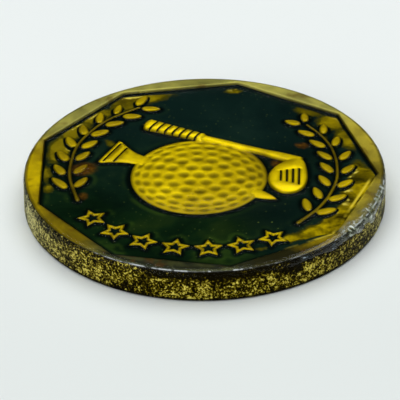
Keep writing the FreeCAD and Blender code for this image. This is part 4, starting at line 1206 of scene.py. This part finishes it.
for k in range(1, steps + 1):
    b = k / steps
    ang = b * math.radians(118)
    rr = 12.15 + (0.35 + swell) * math.sin(min(ang, math.pi / 2)) if ang <= math.pi / 2 else 12.15 + (0.35 + swell) * math.sin(ang)
    zz = 2.10 + (zf[RING] - 2.10) * math.cos(ang) if ang <= math.pi / 2 else 2.10 + 0.30 * math.cos(ang)
    q3 = np.column_stack([dirs * np.reshape(rr, (-1, 1)), np.full(N_RING, 1.0) * zz])
    wob = 0.022 * right * fbm(q3, 0.32, 3, 90) + 0.010 * front * fbm(q3, 0.45, 2, 91)
    q3[:, :2] += dirs * wob[:, None]
    q3[:, 2] += 0.4 * wob
    if k >= steps - 2:
        # runs of lacquer down the side
        q3[:, 2] -= run * (0.45, 0.80, 1.0)[k - steps + 2]
    if k == steps:
        q3[:, :2] = dirs * (R - 0.12)
        q3[:, 2] = 1.96 - run
    idx = count + np.arange(N_RING)
    verts.append(q3)
    faces.append(tris(ring_quads(prev, idx)))
    rag = smooth(fbm(q3, 0.55, 3, 203), -0.50, 0.02)
    wide = smooth(deg, -70, -60) * (1 - smooth(deg, -12, 2))
    clean = smooth(deg, -80, -70) * (1 - smooth(deg, -48, -40))
    flecks = smooth(fbm(q3, 0.55, 3, 205), -0.25, 0.15)
    # a painted highlight line along the shoulder, and on the runs down the side
    lip = (0.95 * front * (k == 3) * (1 - 0.55 * clean) + 0.06 * (k == 3)) * (0.30 + 0.70 * flecks)
    # painted grey haze on the shoulder, mostly at the front
    front_haze = 0.08 + 0.12 * front * (k < 3) * (1 - 0.8 * clean)
    pale_side = smooth(deg, -46, -38) * (1 - smooth(deg, -16, -2))
    slate_rag = smooth(fbm(bp, 0.85, 3, 207), -0.02, 0.20)
    # where the painted reflection streaks lie on the shoulder, at the right
    reflection_streak_mask = np.maximum(pale_side * (0.35 + 0.65 * rag), wide * (k >= 5) * slate_rag * (0.4 + 0.6 * rag)) * (1.0 if k < steps else 0.3)
    if k >= 6:
        lip = np.maximum(lip, 0.75 * smooth(run, 0.12, 0.5) * (deg > -38) * flecks)
    coat.append(np.column_stack([front_haze, np.clip(0.06 * front + 0.9 * right, 0, 1), np.clip(lip, 0, 1), np.clip(reflection_streak_mask, 0, 1)]))
    count += N_RING
    prev = idx
under, UT = close_ring(verts[-1][:, :2])
extra = len(under) - N_RING
verts.append(np.column_stack([under[N_RING:], np.full(extra, 1.96)]))
faces.append(np.concatenate([prev, count + np.arange(extra)])[UT])
coat.append(np.zeros((extra, 4)))
count += extra
film = mesh_object("clear_lacquer", np.concatenate(verts) * MM, np.concatenate(faces), [MAT_LACQUER])
paint(film, "coat", np.concatenate(coat))
film_v = np.concatenate(verts)
film_deg = np.degrees(np.arctan2(film_v[:, 1], film_v[:, 0]))
pale = smooth(film_deg, -46, -36) + 0.5 * smooth(fbm(film_v, 0.9, 2, 611), 0.1, 0.4)
paint(film, "reflection_streaks", np.column_stack([np.clip(pale, 0, 1), np.zeros(len(film_v)), np.zeros(len(film_v))]))
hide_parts("clear_coat")
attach(film, "root")

# ============================================================================
# Stage, light and camera
# ============================================================================
scene = bpy.context.scene
scene.view_settings.view_transform = "Standard"
scene.view_settings.look = "None"
scene.view_settings.exposure = 0.0
scene.view_settings.gamma = 1.0

m = Nodes("pale_floor")
co = m.coords()
col = m.ramp(m.noise(14, 3, 0.5, co), [(0.3, srgb(236, 239, 238)), (0.7, srgb(240, 243, 242))])
sepf = m.node("ShaderNodeSeparateXYZ")
m.link(co, sepf.inputs[0])
# painted shade: the floor is a little darker towards the front
col = m.mix(m.mapr(sepf.outputs[1], -0.022, 0.020, 0, 1), m.mix(1.0, col, srgb(243, 244, 243), "MULTIPLY"), col)
near_floor = m.principled(Base_Color=col, Roughness=0.75, Normal=m.bump(m.noise(900, 3, 0.5, co), 0.05, 0.0001))
far_floor = m.node("ShaderNodeEmission")
far_floor.inputs["Color"].default_value = (*srgb(236, 241, 242), 1)
reach = m.node("ShaderNodeVectorMath", operation="LENGTH")
m.link(co, reach.inputs[0])
seen = m.node("ShaderNodeLightPath")
fade = m.math("MULTIPLY", m.mapr(reach.outputs["Value"], 0.05, 0.40, 0, 1), seen.outputs["Is Camera Ray"])
floor_mix = m.node("ShaderNodeMixShader")
m.link(fade, floor_mix.inputs[0])
m.link(near_floor.outputs["BSDF"], floor_mix.inputs[1])
m.link(far_floor.outputs[0], floor_mix.inputs[2])
m.link(floor_mix.outputs[0], m.out.inputs["Surface"])
N = 64
a = np.arange(N) / N * 2 * math.pi
rings = [0.05, 0.3, 1.2, 4.0]
fv = [(0, 0, 0)] + [(r * math.cos(t), r * math.sin(t), 0) for r in rings for t in a]
ff = [(0, 1 + i, 1 + (i + 1) % N) for i in range(N)]
for k in range(len(rings) - 1):
    o = 1 + k * N
    ff += [(o + i, o + N + i, o + N + (i + 1) % N, o + (i + 1) % N) for i in range(N)]
floor = mesh_object("floor", fv, ff, [m.mat])
floor.location.z = 0.0

world = bpy.data.worlds.new("studio")
scene.world = world
world.use_nodes = True
wt = world.node_tree
wt.nodes.clear()
wo = wt.nodes.new("ShaderNodeOutputWorld")
bg_cam = wt.nodes.new("ShaderNodeBackground")
bg_cam.inputs["Color"].default_value = (*srgb(236, 241, 242), 1)
bg_cam.inputs["Strength"].default_value = 1.0
bg = wt.nodes.new("ShaderNodeBackground")
tc = wt.nodes.new("ShaderNodeTexCoord")
sep = wt.nodes.new("ShaderNodeSeparateXYZ")
wt.links.new(tc.outputs["Generated"], sep.inputs[0])
mr = wt.nodes.new("ShaderNodeMapRange")
mr.interpolation_type = "SMOOTHSTEP"
mr.inputs["From Min"].default_value = -0.75
mr.inputs["From Max"].default_value = 0.45
mr.inputs["To Min"].default_value = 0.34
mr.inputs["To Max"].default_value = 0.008
wt.links.new(sep.outputs["Y"], mr.inputs["Value"])
wt.links.new(mr.outputs[0], bg.inputs["Strength"])
bg.inputs["Color"].default_value = (0.92, 0.97, 1.0, 1)
lp = wt.nodes.new("ShaderNodeLightPath")
mx = wt.nodes.new("ShaderNodeMixShader")
wt.links.new(lp.outputs["Is Camera Ray"], mx.inputs[0])
wt.links.new(bg.outputs[0], mx.inputs[1])
wt.links.new(bg_cam.outputs[0], mx.inputs[2])
wt.links.new(mx.outputs[0], wo.inputs["Surface"])


def area(name, loc, aim, size, power, color=(1, 1, 1)):
    l = bpy.data.lights.new(name, "AREA")
    l.shape = "DISK"
    l.size = size
    l.energy = power
    l.color = color
    ob = bpy.data.objects.new(name, l)
    ob.location = loc
    d = Vector(aim) - Vector(loc)
    ob.rotation_euler = d.to_track_quat("-Z", "Y").to_euler()
    scene.collection.objects.link(ob)
    return ob


area("overhead_softbox", (0.02, 0.12, 0.55), (0, 0, 0), 0.88, 3.90, (0.975, 1.0, 0.995))
area("front_softbox", (-0.30, -0.42, 0.30), (0, 0, 0), 0.44, 0.98)
area("side_softbox", (0.46, -0.12, 0.22), (0, 0, 0), 0.26, 0.08)

AIM = np.array([-0.0263, -0.1231, 0.0911]) * R * MM
ELEV, DIST_R, ROLL = math.radians(32.79), 32.90, math.radians(-0.816)
view = np.array([0.0, math.cos(ELEV), -math.sin(ELEV)])
right0 = np.array([1.0, 0.0, 0.0])
up0 = np.cross(right0, view)
r1 = math.cos(ROLL) * right0 + math.sin(ROLL) * up0
u1 = -math.sin(ROLL) * right0 + math.cos(ROLL) * up0
cam_data = bpy.data.cameras.new("camera")
cam_data.sensor_width = 36.0
cam_data.lens = 36.0 * 5969.0 / 400.0
cam_data.clip_start = 0.01
cam_data.clip_end = 20.0
cam = bpy.data.objects.new("camera", cam_data)
scene.collection.objects.link(cam)
from mathutils import Matrix
rot = Matrix(((r1[0], u1[0], -view[0]), (r1[1], u1[1], -view[1]), (r1[2], u1[2], -view[2])))
cam.matrix_world = Matrix.Translation(Vector(AIM - view * DIST_R * R * MM)) @ rot.to_4x4()
scene.camera = cam
